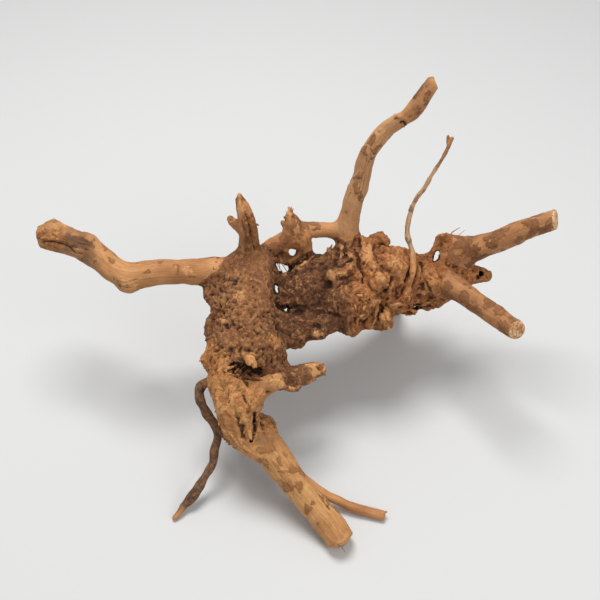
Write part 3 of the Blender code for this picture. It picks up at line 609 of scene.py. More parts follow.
def surface(F):
    """Surface nets: vertices and quads of the zero level."""
    ins = F < 0
    c = np.zeros(np.array(F.shape) - 1, np.uint8)
    corners = [(x, y, z) for x in (0, 1) for y in (0, 1) for z in (0, 1)]
    n = c.shape
    for x, y, z in corners:
        c += ins[x:x + n[0], y:y + n[1], z:z + n[2]]
    act = (c > 0) & (c < 8)
    cells = np.argwhere(act)
    index = np.full(n, -1, np.int32)
    index[act] = np.arange(len(cells), dtype=np.int32)
    acc = np.zeros((len(cells), 3))
    cnt = np.zeros(len(cells))
    for a in corners:
        for ax in range(3):
            if a[ax]:
                continue
            b = list(a)
            b[ax] = 1
            va = F[cells[:, 0] + a[0], cells[:, 1] + a[1], cells[:, 2] + a[2]]
            vb = F[cells[:, 0] + b[0], cells[:, 1] + b[1], cells[:, 2] + b[2]]
            x = (va < 0) != (vb < 0)
            t = np.where(x, va / np.where(x, va - vb, 1), 0)
            for k in range(3):
                acc[:, k] += np.where(x, a[k] + (t if k == ax else 0), 0)
            cnt += x
    verts = LO + H * (cells + acc / cnt[:, None])
    quads = []
    for ax in range(3):
        u, v = (ax + 1) % 3, (ax + 2) % 3
        s0 = [slice(None)] * 3
        s1 = [slice(None)] * 3
        s0[ax], s1[ax] = slice(0, -1), slice(1, None)
        a, b = ins[tuple(s0)], ins[tuple(s1)]
        e = np.argwhere(a != b)
        ok = (e[:, u] > 0) & (e[:, v] > 0) & (e[:, u] < n[u]) & (e[:, v] < n[v])
        e = e[ok]
        inside = ins[e[:, 0], e[:, 1], e[:, 2]]

        def at(du, dv):
            q = e.copy()
            q[:, u] -= du
            q[:, v] -= dv
            return index[q[:, 0], q[:, 1], q[:, 2]]

        q = np.stack([at(0, 0), at(1, 0), at(1, 1), at(0, 1)], 1)
        q[~inside] = q[~inside][:, ::-1]
        quads.append(q)
    quads = np.vstack(quads)
    return verts, quads[(quads >= 0).all(1)]


V, Q = surface(FIELD)
del FIELD


def normals(V, Q):
    a, b, c, d = V[Q[:, 0]], V[Q[:, 1]], V[Q[:, 2]], V[Q[:, 3]]
    fn = np.cross(c - a, d - b)
    N = np.zeros_like(V)
    for k in range(4):
        for i in range(3):
            N[:, i] += np.bincount(Q[:, k], fn[:, i], len(V))
    return N / np.maximum(np.linalg.norm(N, axis=1), 1e-12)[:, None]


def relax(V, Q, times, amount=0.5):
    for _ in range(times):
        S = np.zeros_like(V)
        n = np.zeros(len(V))
        for a, b in ((0, 1), (1, 2), (2, 3), (3, 0)):
            for i, j in ((a, b), (b, a)):
                for k in range(3):
                    S[:, k] += np.bincount(Q[:, i], V[Q[:, j], k], len(V))
                n += np.bincount(Q[:, i], minlength=len(V))
        V = V + amount * (S / n[:, None] - V)
    return V


V = relax(V, Q, 1, 0.4)
print("skin", len(V), len(Q), round(time.time() - T0, 1))


# ----------------------------------------------- where each vertex belongs
def to_line(P, line):
    """For each row of P: distance to the run's skin, length along it, index."""
    best = np.full(len(P), 1.0)
    where = np.zeros(len(P))
    which = np.zeros(len(P), int)
    seg = np.linalg.norm(np.diff(line[:, :3], axis=0), axis=1)
    s = np.concatenate([[0], np.cumsum(seg)])
    for i in range(len(line) - 1):
        a, b = line[i], line[i + 1]
        d = b[:3] - a[:3]
        t = np.clip(((P - a[:3]) @ d) / max(d @ d, 1e-14), 0, 1)
        dist = np.linalg.norm(P - a[:3] - t[:, None] * d, axis=1) - (a[3] + t * (b[3] - a[3]))
        m = dist < best
        best[m], where[m], which[m] = dist[m], (s[i] + t * seg[i])[m], i
    return best, where, which


def frames(line):
    """Directions across each segment that turn as little as they can."""
    d = np.diff(line[:, :3], axis=0)
    d /= np.linalg.norm(d, axis=1)[:, None]
    x = np.cross(d[0], (0.3, 0.5, 0.8))
    xs = []
    for t in d:
        x = x - t * (x @ t)
        x /= np.linalg.norm(x)
        xs.append(x)
    xs = np.array(xs)
    return d, xs, np.cross(d, xs)


COUNT = len(V)
near1 = np.full(COUNT, 1.0)
near2 = np.full(COUNT, 1.0)
owner = np.full(COUNT, -1)
flow = np.zeros((COUNT, 3))
run_r = np.full(COUNT, 0.01)
NAMES = list(LINES)
for number, name in enumerate(NAMES):
    line = LINES[name]
    lo = (line[:, :3] - line[:, 3:]).min(0) - 0.012
    hi = (line[:, :3] + line[:, 3:]).max(0) + 0.012
    pick = np.flatnonzero(((V > lo) & (V < hi)).all(1))
    if not len(pick):
        continue
    dist, s, seg = to_line(V[pick], line)
    better = dist < near1[pick]
    near2[pick] = np.where(better, near1[pick], np.minimum(near2[pick], dist))
    near1[pick] = np.where(better, dist, near1[pick])
    d, x, y = frames(line)
    off = V[pick] - line[seg, :3]
    f = np.stack([s + 0.37 * number, (off * x[seg]).sum(1) + 0.011 * number, (off * y[seg]).sum(1)], 1)
    flow[pick[better]] = f[better]
    owner[pick[better]] = number
    run_r[pick[better]] = line[seg[better], 3]
crown_d = np.full(COUNT, 1.0)
for line in list(CROWN_LINES.values()):
    crown_d = np.minimum(crown_d, to_line(V, line)[0])
for q in BALLS[np.array([i for i in range(len(BALLS)) if i != 41])]:
    crown_d = np.minimum(crown_d, np.linalg.norm(V - q[:3], axis=1) - q[3])
branch = step01(0.0, 0.013, crown_d - 0.25 * np.maximum(near1, 0) * 4)
branch = np.where(owner < 0, 0, branch)
branch = np.where(near1 > 0.004, 0, branch)
sure = step01(0.0, 0.004, near2 - near1) * step01(0.02, 0.25, branch)


def owned(*names):
    return np.isin(owner, [NAMES.index(n) for n in names])


N = normals(V, Q)
# the trunk below the mouth and the short stubs are half rough
halfway = owned("loop_web", "loop_root", "leg_base", "pale_stub", "brown_stub", "hollow_stub", "top_stub", "arch_upper", "arch_lower", "strut",
                "broken_stub", "back_stub", "back_knuckle", "back_root_left", "back_root_right", "nub")
rough = 1 - branch
rough = np.where(halfway, np.maximum(rough, 0.30), rough)

# ------------------------------------------------------ what the eye can see
rel = V - EYE_M
depth = -(rel @ NEAR)
U_ = 300 + FOCAL * (rel @ RIGHT) / depth
V_ = 300 - FOCAL * (rel @ UP) / depth
cell = (np.clip(U_ / 2, 0, 299).astype(int), np.clip(V_ / 2, 0, 299).astype(int))
zbuf = np.full((300, 300), 9.0)
np.minimum.at(zbuf, cell, depth)
seen_w = step01(0.016, 0.008, depth - zbuf[cell]) * step01(-0.15, 0.15, N @ NEAR)
UW = U_ + 2.4 * noise(V / 0.0060, 151) + 1.3 * noise(V / 0.0027, 152)
VW = V_ + 2.4 * noise(V / 0.0060, 153) + 1.3 * noise(V / 0.0027, 154)
PXM = depth / FOCAL  # metres per unit of the square at each vertex


def blot(u, v, a, b, turn=0.0, edge=0.35):
    """1 inside an ellipse on the eye's square, 0 outside, on what it sees."""
    c, s = math.cos(math.radians(turn)), math.sin(math.radians(turn))
    x = (U_ - u) * c - (V_ - v) * s
    y = (U_ - u) * s + (V_ - v) * c
    d = np.sqrt((x / a) ** 2 + (y / b) ** 2)
    return step01(1 + edge, 1 - edge, d) * seen_w


def torn_blot(u, v, a, b, turn=0.0, edge=0.35):
    """A blot whose outline wanders as torn bark does."""
    c, s = math.cos(math.radians(turn)), math.sin(math.radians(turn))
    x = (UW - u) * c - (VW - v) * s
    y = (UW - u) * s + (VW - v) * c
    return step01(1 + edge, 1 - edge, np.sqrt((x / a) ** 2 + (y / b) ** 2)) * seen_w


def stroke(points, width, wander=False):
    """1 on a line drawn on the eye's square, fading over width."""
    us, vs = (0.5 * (U_ + UW), 0.5 * (V_ + VW)) if wander else (U_, V_)
    best = np.full(COUNT, 1e3)
    pts = np.asarray(points, float)
    for a, b in zip(pts[:-1], pts[1:]):
        d = b - a
        t = np.clip(((us - a[0]) * d[0] + (vs - a[1]) * d[1]) / (d @ d), 0, 1)
        best = np.minimum(best, np.hypot(us - a[0] - t * d[0], vs - a[1] - t * d[1]))
    return step01(width, width * 0.25, best) * seen_w


rough = np.where(owned("leg_base"), np.maximum(rough, 0.72 * step01(466, 430, V_)), rough)
rough = np.where(owned("tall_branch"), np.maximum(rough, 0.55 * step01(236, 252, VW)), rough)
rough = np.where(owned("leg"), np.maximum(rough, 0.70 * step01(452, 426, V_)), rough)
rough = np.where(owned("pale_stub"), np.maximum(rough, 0.55), rough)
rough = np.where(owned("brown_stub"), np.maximum(rough, 0.75 * step01(306, 298, U_)), rough)
rough = np.where(owned("top_stub"), np.maximum(rough, 0.8 * step01(239, 247, UW) * step01(204, 218, VW)), rough)
rough = np.where(owned("hollow_stub"), np.maximum(rough, 0.62 + 0.3 * step01(476, 468, U_)), rough)
rough = np.where(owned("loop_root", "loop_web"), np.maximum(rough, 0.62 * step01(462, 448, UW)), rough)
# the arm's broken end is torn and grainy
torn_end = np.where(owned("left_arm"), step01(72, 58, UW) * step01(0.0, 1.0, seen_w + 0.3), 0.0)
rough = np.maximum(rough, 0.56 * torn_end)

# ------------------------------------------------------------ grown relief
P = V.copy()
warp = np.stack([fbm(P, 0.024, 101 + 7 * i, 2) for i in range(3)], 1)
W = P + warp * 0.010
# the crown: knots that bulge with sharp creases between them
burl = step01(285, 350, U_) * step01(470, 430, U_)          # right of the crown
mid = step01(262, 290, U_) * step01(360, 335, U_)           # the dark middle
trunk = step01(372, 384, V_)


def crest(p, seed, power=3.0):
    """Sharp crests with broad dips between them, about -0.4 to 0.6."""
    return (1 - np.minimum(np.abs(noise(p, seed)) * 1.35, 1)) ** power - 0.4


bulge = np.abs(fbm(W, 0.024, 5, 2)) ** 0.8 - 0.33
lean = W * np.array([1.0, 0.62, 0.62])                       # folds that run down the burl
folds = crest(lean / 0.0125, 9, 2.0)
torn = fbm(W, 0.0130, 13, 4, 0.62)
grit = fbm(P + warp * 0.003, 0.0052, 14, 2, 0.7)
chips = crest(P / 0.0066 + warp * 1.5, 18, 2.5)
fine = noise(P / 0.0028, 21)
column = step01(205, 213, U_) * step01(278, 266, U_) * step01(262, 276, V_) * step01(372, 356, V_) * seen_w
torn_zone = step01(348, 360, U_) * step01(410, 392, U_) * step01(284, 294, V_) * seen_w
# even, felted patches of the crown's left column, with rough wood between them
still = np.maximum.reduce([torn_blot(258, 262, 17, 13, 0, 0.3), torn_blot(240, 294, 12, 7.5, 12, 0.3),
                           torn_blot(229, 338, 15, 6.5, -8, 0.3), torn_blot(265, 297, 7, 13, 0, 0.3),
                           torn_blot(218, 272, 11, 6, 0, 0.3), torn_blot(262, 341, 9, 6, 0, 0.3)])
calm = np.maximum(0.30 + 0.70 * (1 - seen_w), np.maximum(0.85 * column, 0.7 * torn_zone))  # the drawn side keeps its own forms
terr = fbm(P + warp * 0.004, 0.0105, 19, 3, 0.55) * 3.4
plates = np.floor(terr) + step01(0.62, 1.0, terr - np.floor(terr)) - terr + 0.2
terr_big = fbm(P + warp * 0.004, 0.0180, 23, 2, 0.5) * 2.8
plates_big = np.floor(terr_big) + step01(0.70, 1.0, terr_big - np.floor(terr_big)) - terr_big + 0.2
plates = plates + (plates_big - plates) * trunk * seen_w
flaky = np.clip(0.45 + 0.6 * trunk + 0.8 * step01(350, 368, U_) * step01(284, 296, V_) * step01(404, 394, U_)
                + 0.35 * mid + 0.8 * step01(206, 214, V_) * step01(258, 246, V_) * step01(262, 256, U_) * step01(240, 246, U_), 0, 1.4)
crown_h = (bulge * (0.0022 + 0.0016 * burl + 0.0014 * mid) * calm + folds * (0.0004 + 0.0008 * burl + 0.0006 * mid) * calm
           + torn * (0.0018 - 0.0004 * burl) * (0.62 + 0.38 * calm) + grit * (0.0015 - 0.0007 * burl)
           + chips * 0.0006 * calm + fine * (0.0005 - 0.0002 * burl)) * (1 - 0.82 * trunk * seen_w) + plates * 0.0010 * flaky - 0.0005
crown_h *= 1 - 0.50 * step01(300, 278, V_) * step01(280, 266, U_)
crown_h = crown_h * (1 - 0.55 * torn_end) + torn_end * 0.0006 * crest(flow / np.array([0.020, 0.0040, 0.0040]), 29, 1.5)
crown_h += column * (0.0007 * grit + 0.0006 * chips + 0.0004 * fine + 0.0005 * plates) + torn_zone * 0.0005 * chips
crown_h *= 1 - 0.58 * still
masses = np.maximum.reduce([blot(396, 266, 14, 20, 0, 0.3), blot(380, 279, 8, 9, 0, 0.3), blot(433, 284, 11, 16, 0, 0.3),
                            blot(382, 240, 9, 6, 0, 0.3), blot(331, 276, 8, 7, 0, 0.3), blot(345, 267, 10, 5, 25, 0.3)])
crown_h *= 1 - 0.45 * masses
lines = np.stack([P @ RIGHT / 0.0042, P @ UP / 0.030, P @ NEAR / 0.0075], 1) + warp * 1.2
crown_h += 0.0007 * burl * noise(lines, 25) + 0.0004 * noise(lines * 2.1, 26) * burl
swell = fbm(P, 0.045, 31, 2) * 0.0022
# branches: slow swellings and grain that runs along them
F = flow.copy()
grain = noise(np.stack([F[:, 0] / 0.040, F[:, 1] / 0.0042, F[:, 2] / 0.0042], 1), 41)
grain2 = noise(np.stack([F[:, 0] / 0.016, F[:, 1] / 0.0024, F[:, 2] / 0.0024], 1), 47)
undul = fbm(P, 0.022, 51, 2)
small = fbm(P, 0.007, 57, 2)
thick = np.clip(run_r / 0.012, 0.12, 1.2)
branch_h = thick * (undul * 0.0012 + small * 0.00035 + grain * 0.00030 * sure + grain2 * 0.00014 * sure)
branch_h += thick * fbm(P, 0.012, 61, 1) * 0.0004

# bark left on the smooth wood in flat islands
isle = noise(np.stack([F[:, 0] / 0.019, F[:, 1] / 0.0105, F[:, 2] / 0.0105], 1) + warp * 0.6, 71)
isle = isle * 0.66 + 0.36 * noise(np.stack([F[:, 0] / 0.0070, F[:, 1] / 0.0048, F[:, 2] / 0.0048], 1), 77)
isle += 0.20 * noise(np.stack([F[:, 0] / 0.0034, F[:, 1] / 0.0026, F[:, 2] / 0.0026], 1), 79)
ragged = 0.55 * noise(P / 0.0062, 80) + 0.45 * noise(P / 0.0031, 82)
NEED = {"left_arm": 0.60, "upper_branch": 0.16, "lower_branch": 0.13, "tall_branch": 0.52, "leg": 0.62,
        "front_root": -0.9, "whip_root": 0.40, "split_root": 0.9, "back_root_left": 0.20, "back_root_right": 0.18,
        "hollow_stub": 0.1, "top_stub": 0.35, "leg_base": 0.5, "pale_stub": 0.8, "brown_stub": 0.25, "bar": 0.4}
need = np.array([NEED.get(n, 0.2) for n in NAMES] + [0.2])[owner]
# more of it where the arm leaves the crown
need = np.where(owned("left_arm"), 0.60 - 0.55 * step01(185, 225, U_), need)
need = np.where(owned("front_root"), np.where(V_ > 506, 0.6, need), need)
bark = np.clip(0.5 + (isle - need) * 1.9, 0, 1)
for u, v, a, b, turn in ((355.5, 190, 4, 6, 0), (360, 199, 2.5, 5, 0), (363, 152, 3, 10, 20), (372, 139, 3, 7, -30),
                         (418, 90, 4, 9, -35), (427, 95, 2.5, 6, -35), (358, 176, 4, 4, 0), (403, 124, 4.5, 3, -30), (396, 118, 3.5, 2, -30),
                         (270.5, 446.5, 6.5, 5.5, -40), (262, 450, 6, 4, -20), (285, 453, 1.8, 4.5, 30), (294, 469, 6.5, 3.6, -25), (284, 472, 7, 1.8, 10),
                         (299, 486.5, 4.2, 6.0, 20), (288, 487, 5, 6, 30), (313, 502.5, 2.6, 2.6, 0), (307.5, 510.5, 4.4, 4.8, 20),
                         (279, 461, 2.4, 5, 30), (325, 500, 1.4, 5, 34), (302, 471, 1.2, 6, 34),
                         (209, 281, 5, 3, 0), (177.5, 268, 2.5, 3.5, 20), (160, 263, 4, 1.6, 0),
                         (146, 273, 3.5, 1.6, 0), (110.5, 259, 2.5, 5, 35), (176, 274, 2.5, 1.6, 0), (97, 262, 2.5, 1.6, 0),
                         (78, 241.5, 15, 5.5, -14), (90, 247, 6, 4, 0),
                         (462, 243, 9, 4, 15), (471, 251, 9, 5, 10), (492, 244, 8, 3.5, 25), (535, 223.5, 7, 6, 20), (546, 231, 7, 4, 20),
                         (500, 233, 7, 3.5, 20), (520, 239, 6, 3, 25), (479, 262, 6, 4, 0), (552, 222, 3, 5, 15),
                         (447, 284, 5, 5, 0), (442, 291, 5, 4, 0), (464, 297, 6, 5, -35), (489, 301, 7, 4, -35), (500, 312, 6, 5, -35),
                         (505, 327, 8, 4, -40), (513, 320, 4, 3, -35), (476, 309, 5, 3, -40),
                         (302, 231, 3, 6, 0), (293, 222, 3, 6, 0), (316, 229, 4, 2, 0)):
    bark = np.maximum(bark, 0.95 * torn_blot(u, v, a, b, turn, 0.55) + 0.10 * ragged)
for u, v, a, b, turn in ((187, 270, 8, 6, 0), (58, 225, 14, 4, 18), (362, 163, 5, 8, -10), (349, 225, 9, 18, 0), (395, 125, 9, 7, 0),
                         (410, 106, 7, 6, -35), (354, 207, 6, 7, 0), (380, 131, 5, 4, 30), (478, 240, 5, 4, 20), (515, 228, 10, 5, 20),
                         (455, 280, 6, 5, 0), (480, 292, 8, 5, -35), (476, 298, 7, 4, -35), (250, 205, 4, 8, 0), (150, 280, 30, 5, 0)):
    bark *= 1 - 0.9 * blot(u, v, a, b, turn, 0.6)
bark *= np.clip(branch * 1.3, 0, 1) * np.where(sure > 0.05, 1, 0.4)
branch_h += step01(0.4, 0.6, bark) * 0.00030

move = rough * (crown_h + swell * np.where(branch < 0.5, 1, 0.3)) + (1 - rough) * branch_h
# the creases of the crown keep off the thinnest runs
move = np.where(owner >= 0, np.clip(move, -0.30 * run_r - 0.004 * (rough > 0.8), 0.30 * run_r + 0.004 * (rough > 0.8)), move)

# seen detail: creases, folds and dents at their own places
GROOVES = [
    ([(44, 241.5), (52, 241.5), (62, 243.5), (70, 247.5), (74, 252), (82, 254)], 1.2, 0.6), ([(78, 243), (90, 246)], 1.0, 0.5),
    ([(72, 246), (80, 248.5), (87, 249.5)], 1.1, 0.5), ([(80, 240), (88, 242), (93, 241.5)], 0.9, 0.4), ([(40, 246), (52, 248.5), (62, 251)], 0.7, 0.2),
    ([(47, 226), (55, 231), (66, 233)], 0.7, 0.3), ([(42, 232), (50, 235), (60, 236)], 0.7, 0.3),
    ([(66, 237), (78, 240), (90, 243)], 1.2, 0.3), ([(70, 247), (82, 248), (88, 250)], 1.2, 0.3),
    ([(117, 280), (124, 283), (131, 281.5), (137, 279)], 1.2, 0.5), ([(119, 285), (126, 288), (134, 285)], 1.1, 0.5),
    ([(124, 279), (129, 278), (135, 275)], 1.0, 0.3),
    ([(246, 214), (249.5, 226), (252, 240), (255, 250)], 1.6, 0.4), ([(243, 226), (245, 238)], 1.4, 0.3),
    ([(355, 249), (358, 257), (359.2, 267), (362.5, 276.5), (362, 284)], 1.5, 0.4), ([(334, 262), (337.5, 265.8), (342, 265.4), (347, 262), (351.5, 259)], 1.5, 0.4), ([(376.5, 244), (383.5, 244.5), (391, 248.5)], 1.4, 0.4),
    ([(389, 284), (384, 291), (377, 295.5)], 1.4, 0.4), ([(409.3, 252), (409.8, 264), (406.6, 276), (399.5, 287)], 1.2, 0.3),
    ([(421, 262), (422, 272), (419.3, 283), (414, 293)], 1.5, 0.3), ([(425.5, 281), (429.5, 293), (436, 301)], 1.4, 0.3),
    ([(430, 274), (434, 277), (438, 279)], 1.2, 0.3), ([(272, 376.2), (276, 373.6), (281, 375), (284.6, 380), (284.6, 386), (281, 390.5)], 1.0, 0.2),
    ([(268.5, 377), (273, 372.2), (280, 371.4), (286, 376.5), (287.4, 384)], 0.9, 0.2), ([(281, 307), (296, 306), (312, 309), (330, 313), (346, 319)], 1.8, 0.4),
    ([(293, 270), (301, 277), (306, 288)], 1.2, 0.3), ([(363, 322), (369, 316), (373, 308)], 1.4, 0.3),
    ([(391, 310), (393, 319)], 1.5, 0.3), ([(254.5, 414), (253.8, 421), (254.8, 430), (250.6, 442)], 1.5, 0.6),
    ([(242, 425), (243.5, 432), (241, 438)], 1.3, 0.3), ([(219, 430.5), (227.5, 440.5), (238, 450.5)], 1.2, 0.3),
    ([(228, 436.5), (236, 445.5), (248, 453.5)], 1.2, 0.3), ([(222, 371), (240, 378), (262, 380)], 1.6, 0.6),
    ([(309, 479), (316, 489), (323.5, 499.5), (330, 509)], 1.3, 0.3), ([(243, 378), (246, 383), (249, 390)], 1.6, 0.4),
    ([(297, 232), (300, 240), (299, 249)], 1.1, 0.3), ([(304, 226), (306, 236), (309, 246)], 1.1, 0.3), ([(288, 243), (283, 250), (277, 256)], 1.2, 0.3),
    ([(274, 446), (290, 468), (304, 488)], 1.0, 0.25), ([(270, 459), (280, 474), (292, 491)], 1.2, 0.35),
    ([(317, 498), (330, 518), (341, 536)], 0.9, 0.25), ([(322, 497), (334, 514), (345, 532)], 0.9, 0.2),
    ([(312, 500), (324, 519), (334, 537)], 0.9, 0.25), ([(291, 452), (306, 474), (321, 497)], 1.0, 0.35),
    ([(276.5, 325), (277.3, 330), (277.6, 337)], 1.4, 0.7),
    ([(400, 122.5), (403.5, 121.5), (405, 124.5)], 1.5, 0.5), ([(393, 121), (399, 118)], 1.1, 0.3),
    ([(376, 131), (379, 127), (383, 126.5), (384, 129.5), (380, 132.5), (376, 131)], 1.1, 0.35),
    ([(411, 111), (414, 108.5), (416, 111), (414, 114)], 1.0, 0.3), ([(420, 103), (424, 101)], 1.0, 0.3),
    ([(360, 172), (363, 170), (364, 173.5), (361, 175.5)], 1.0, 0.3), ([(344, 213), (348, 212)], 1.2, 0.3),
    ([(345, 495), (360, 503.5), (378, 510)], 0.8, 0.25), ([(484, 303), (490, 306), (498, 303)], 0.9, 0.3),
    ([(474, 243), (480, 241), (488, 244)], 1.0, 0.3), ([(500, 246), (512, 243), (524, 238)], 0.9, 0.25),
]
# groove also darkens the colour along each line: painted shade in the crease, and on the left arm's bark patch the
# bark's own dark streaks
groove = np.zeros(COUNT)
for pts, width, deep in GROOVES:
    g = stroke(pts, width + 0.6 * noise(P / 0.006, 83))
    groove = np.maximum(groove, g * min(deep, 1.4) / 1.4)
    move -= g * deep * 0.001 * np.clip(run_r / 0.006, 0.3, 1)
# clefts of the left column, broken up by its grain, with painted shade along them
CLEFTS = [([(217.5, 324), (225, 326.5), (232.5, 322.5), (241.5, 328.5)], 3.0, 0.9), ([(243, 330), (252, 332), (259.5, 330), (270, 332)], 2.0, 0.6),
          ([(256, 317), (264, 316.5), (271.5, 310.5)], 1.8, 0.6), ([(211, 284), (217, 287), (223.5, 289)], 2.4, 0.6),
          ([(229, 279), (234, 283), (240, 281)], 4.2, 0.8), ([(237, 309), (243, 319), (246, 326)], 1.6, 0.4),
          ([(214, 346), (226, 349), (234, 347)], 2.2, 0.5), ([(246, 272), (256, 276), (263, 284)], 1.8, 0.4)]
broken = step01(-0.35, 0.30, noise(P / 0.0042, 85))
for pts, width, deep in CLEFTS:
    g = stroke(pts, width, True) * broken
    groove = np.maximum(groove, 0.6 * g * deep)
    move -= g * deep * 0.001
for u, v, a, b, turn, up in ((245, 305, 13, 11, 0, 0.9), (228, 340, 10, 8, 0, 0.9), (261, 340, 9, 9, 0, 0.8), (239, 356, 7, 4, 0, 1.0), (223.5, 321, 4, 2.6, 0, 1.0),
                             (350, 322, 8, 5, 0, 0.6)):
    move += blot(u, v, a, b, turn, 0.6) * up * 0.001

# sawn and chopped faces stay flat
sawn = np.zeros(COUNT)
flat = np.zeros(COUNT)
for name, at, n, reach in SAWS:
    off = (V - at) @ n
    inr = np.linalg.norm(V - at - 0.4 * reach * n, axis=1) < reach
    on = inr & (off > -0.0011)
    facing = step01(0.55, 0.85, N @ n)
    if name.startswith("saw"):
        sawn = np.maximum(sawn, np.where(on, np.maximum(facing, 0.0), 0))
        move = np.where(on, 0, move * step01(0.0, 0.004, np.where(inr, -off, 1)))
        V = np.where((on & (off > -0.0009))[:, None], V - (off * 1.0)[:, None] * n, V)
    else:
        flat = np.maximum(flat, np.where(on, facing, 0))
        move = np.where(on, 0.35 * branch_h + 0.0005 * grain2, move)
foot = step01(0.0035, 0.0005, V[:, 2])
move *= 1 - foot
V = V + N * move[:, None]
V[:, 2] = np.maximum(V[:, 2], 0.0)
N2 = normals(V, Q)

# hollows and creases are darker with painted shade, what stands out lighter with painted highlight: how far each vertex
# lies under its surroundings
for name, at, n, reach in SAWS:
    if name.startswith("saw"):
        on = (np.abs((V - at) @ n) < 0.0004) & (np.linalg.norm(V - at, axis=1) < reach)
        sawn = np.where(on, 1.0, np.where(np.linalg.norm(V - at, axis=1) < reach, 0.0, sawn))
smooth_v = relax(V, Q, 10, 0.6)
sunk = ((smooth_v - V) * N2).sum(1)
sunk2 = ((relax(smooth_v, Q, 26, 0.6) - V) * N2).sum(1)
hollow = np.clip(sunk / 0.0007, -1, 1) * 0.5 + np.clip(sunk2 / 0.0022, -1, 1) * 0.5
# painted shade in the mouth, holes, slits, cracks and pits, darker where the skin lies deep
deep = np.zeros(COUNT)
for u, v, a, b, turn in ((246, 369, 22, 8, -14), (481, 274.5, 5, 4, 35), (488, 277, 1.6, 2, 0), (362.2, 278, 1.6, 5, 0),
                         (254, 428, 2.6, 14, -4), (280, 268, 9, 5, -25), (276.5, 289, 2.4, 6, 0),
                         (287, 310, 3, 2.4, 0), (317, 325, 4, 2.6, 0), (437.5, 254, 3, 5, 0), (416, 307, 5, 2.4, 0),
                         (403, 122.5, 3, 4, -30), (272.3, 377.2, 2.0, 1.6, 0),
                         (318.5, 368.5, 3, 4, 0), (268.5, 392.5, 4, 2.4, 0), (320.5, 336.5, 1.8, 1.8, 0),
                         (234.5, 281, 6, 4.5, 0), (226, 325, 8, 2.6, 8), (277, 331, 1.6, 5, 0)):
    deep = np.maximum(deep, blot(u, v, a, b, turn, 0.25) * step01(-0.25, 0.45, hollow))
deep = np.maximum(deep, 0.85 * blot(249, 368, 15, 4.2, -10, 0.35) * np.where(owned("nub"), 0.0, 1.0))
PITS = ((272.3, 377.3, 1.6, 1.3), (280.6, 379.2, 0.7, 0.9), (276.6, 386.8, 1.3, 0.7), (275, 380.6, 0.7, 0.5), (273, 384.5, 0.5, 0.8), (320.5, 336.5, 1.6, 1.4), (318.5, 367.5, 2.2, 2.6), (431, 181, 0.8, 1.4), (346, 213, 1.4, 0.8),
        (500, 290, 0.9, 0.6), (519, 217.5, 0.9, 0.7), (478, 243.5, 1.4, 1.0), (485, 240.5, 1.0, 0.8), (301.5, 340, 1.0, 0.8),
        (127, 285, 1.4, 1.0), (358, 178.5, 1.2, 0.9), (363.5, 172.5, 1.0, 0.8))
for u, v, a, b in PITS:
    deep = np.maximum(deep, 0.9 * blot(u, v, a, b, 0.0, 0.5))
pale = np.zeros(COUNT)
for u, v, a, b, turn, amount in ((380, 280, 6, 6, 0, 0.50), (370, 250, 3.0, 6.5, 8, 0.95), (367.5, 257, 6.5, 5, 0, 0.75), (365, 249, 3.5, 8, 8, 0.55), (370, 270, 5, 7, -10, 0.42), (374.6, 266, 1.8, 5.5, -15, 0.85),
                                 (362.5, 243, 2, 6, 10, 0.7), (330.5, 275.5, 6, 5, 20, 0.95), (341, 273, 9, 4.5, -12, 0.62), (351, 265, 5, 3, -45, 0.5),
                                 (396, 263, 13, 10, 0, 0.52), (329, 252, 5, 5, 0, 0.30), (342, 247, 2.6, 3, 0, 0.85), (350.3, 255.3, 4, 3, -20, 0.6),
                                 (341.3, 254, 3, 4, 0, 0.45),
                                 (387, 317, 3.6, 11, 0, 1.0), (396, 305, 6, 2.6, 15, 0.8), (380, 321, 3.5, 6, 0, 0.7), (376, 303, 9, 6, 0, 0.45),
                                 (319, 334, 5, 3.6, 0, 0.95), (240, 294.5, 11, 7.5, 10, 0.50), (223.5, 321, 2.4, 2, 0, 0.8), (229, 338, 14, 6, -8, 0.26), (277, 381.3, 6.6, 8.0, 0, 1.25),
                                 (250, 360, 4.5, 8, -20, 1.0), (229, 370, 6, 2, 0, 0.8), (246, 426, 6, 16, 6, 0.55),
                                 (226, 380, 12, 4, 0, 0.5), (262, 390, 8, 5, 30, 0.5), (240, 208, 4, 10, 0, 0.7), (58, 225, 14, 4, 18, 0.75),
                                 (42, 236, 5, 5, 0, 0.4), (187, 270, 8, 6, 0, 0.5), (315, 371.5, 7, 6, 10, 0.62), (314, 365.4, 9, 1.8, -6, 0.9), (325, 368, 1.6, 5, -15, 0.9), (292, 388, 5, 1.4, -14, 0.6), (432, 283, 7, 10, 0, 0.45),
                                 (424, 294, 4, 4, 0, 0.5), (289, 212, 3, 5, 0, 0.8), (264, 421, 2.4, 2, 0, 0.9), (303, 261, 5, 2, 28, 0.8),
                                 (413, 270, 4, 10, 0, 0.45), (300, 295, 12, 8, 0, 0.22)):
    pale = np.maximum(pale, blot(u, v, a, b, turn, 0.7) * amount)
# warm zones: the right of the crown and the trunk; grey-brown elsewhere
warm = np.clip(step01(340, 364, U_) + 0.8 * step01(380, 392, V_) + 0.30 * fbm(P, 0.03, 91, 2)
               - 0.35 * step01(395, 372, U_) * step01(286, 300, V_) * step01(354, 350, U_), 0, 1)
warm = np.where(owned("leg_base", "pale_stub", "leg"), 1.0, warm)
warm = np.where(owned("top_stub"), np.maximum(warm, 0.65 * step01(250, 232, V_)), warm)
warm = np.where(owned("hollow_stub"), np.maximum(warm, 0.65), warm)
warm = np.where(owned("loop_root", "loop_web"), 1.0, warm)
warm = np.maximum(warm, torn_end)
dark = step01(262, 285, U_) * step01(352, 322, U_) * step01(250, 262, V_) * step01(345, 330, V_)
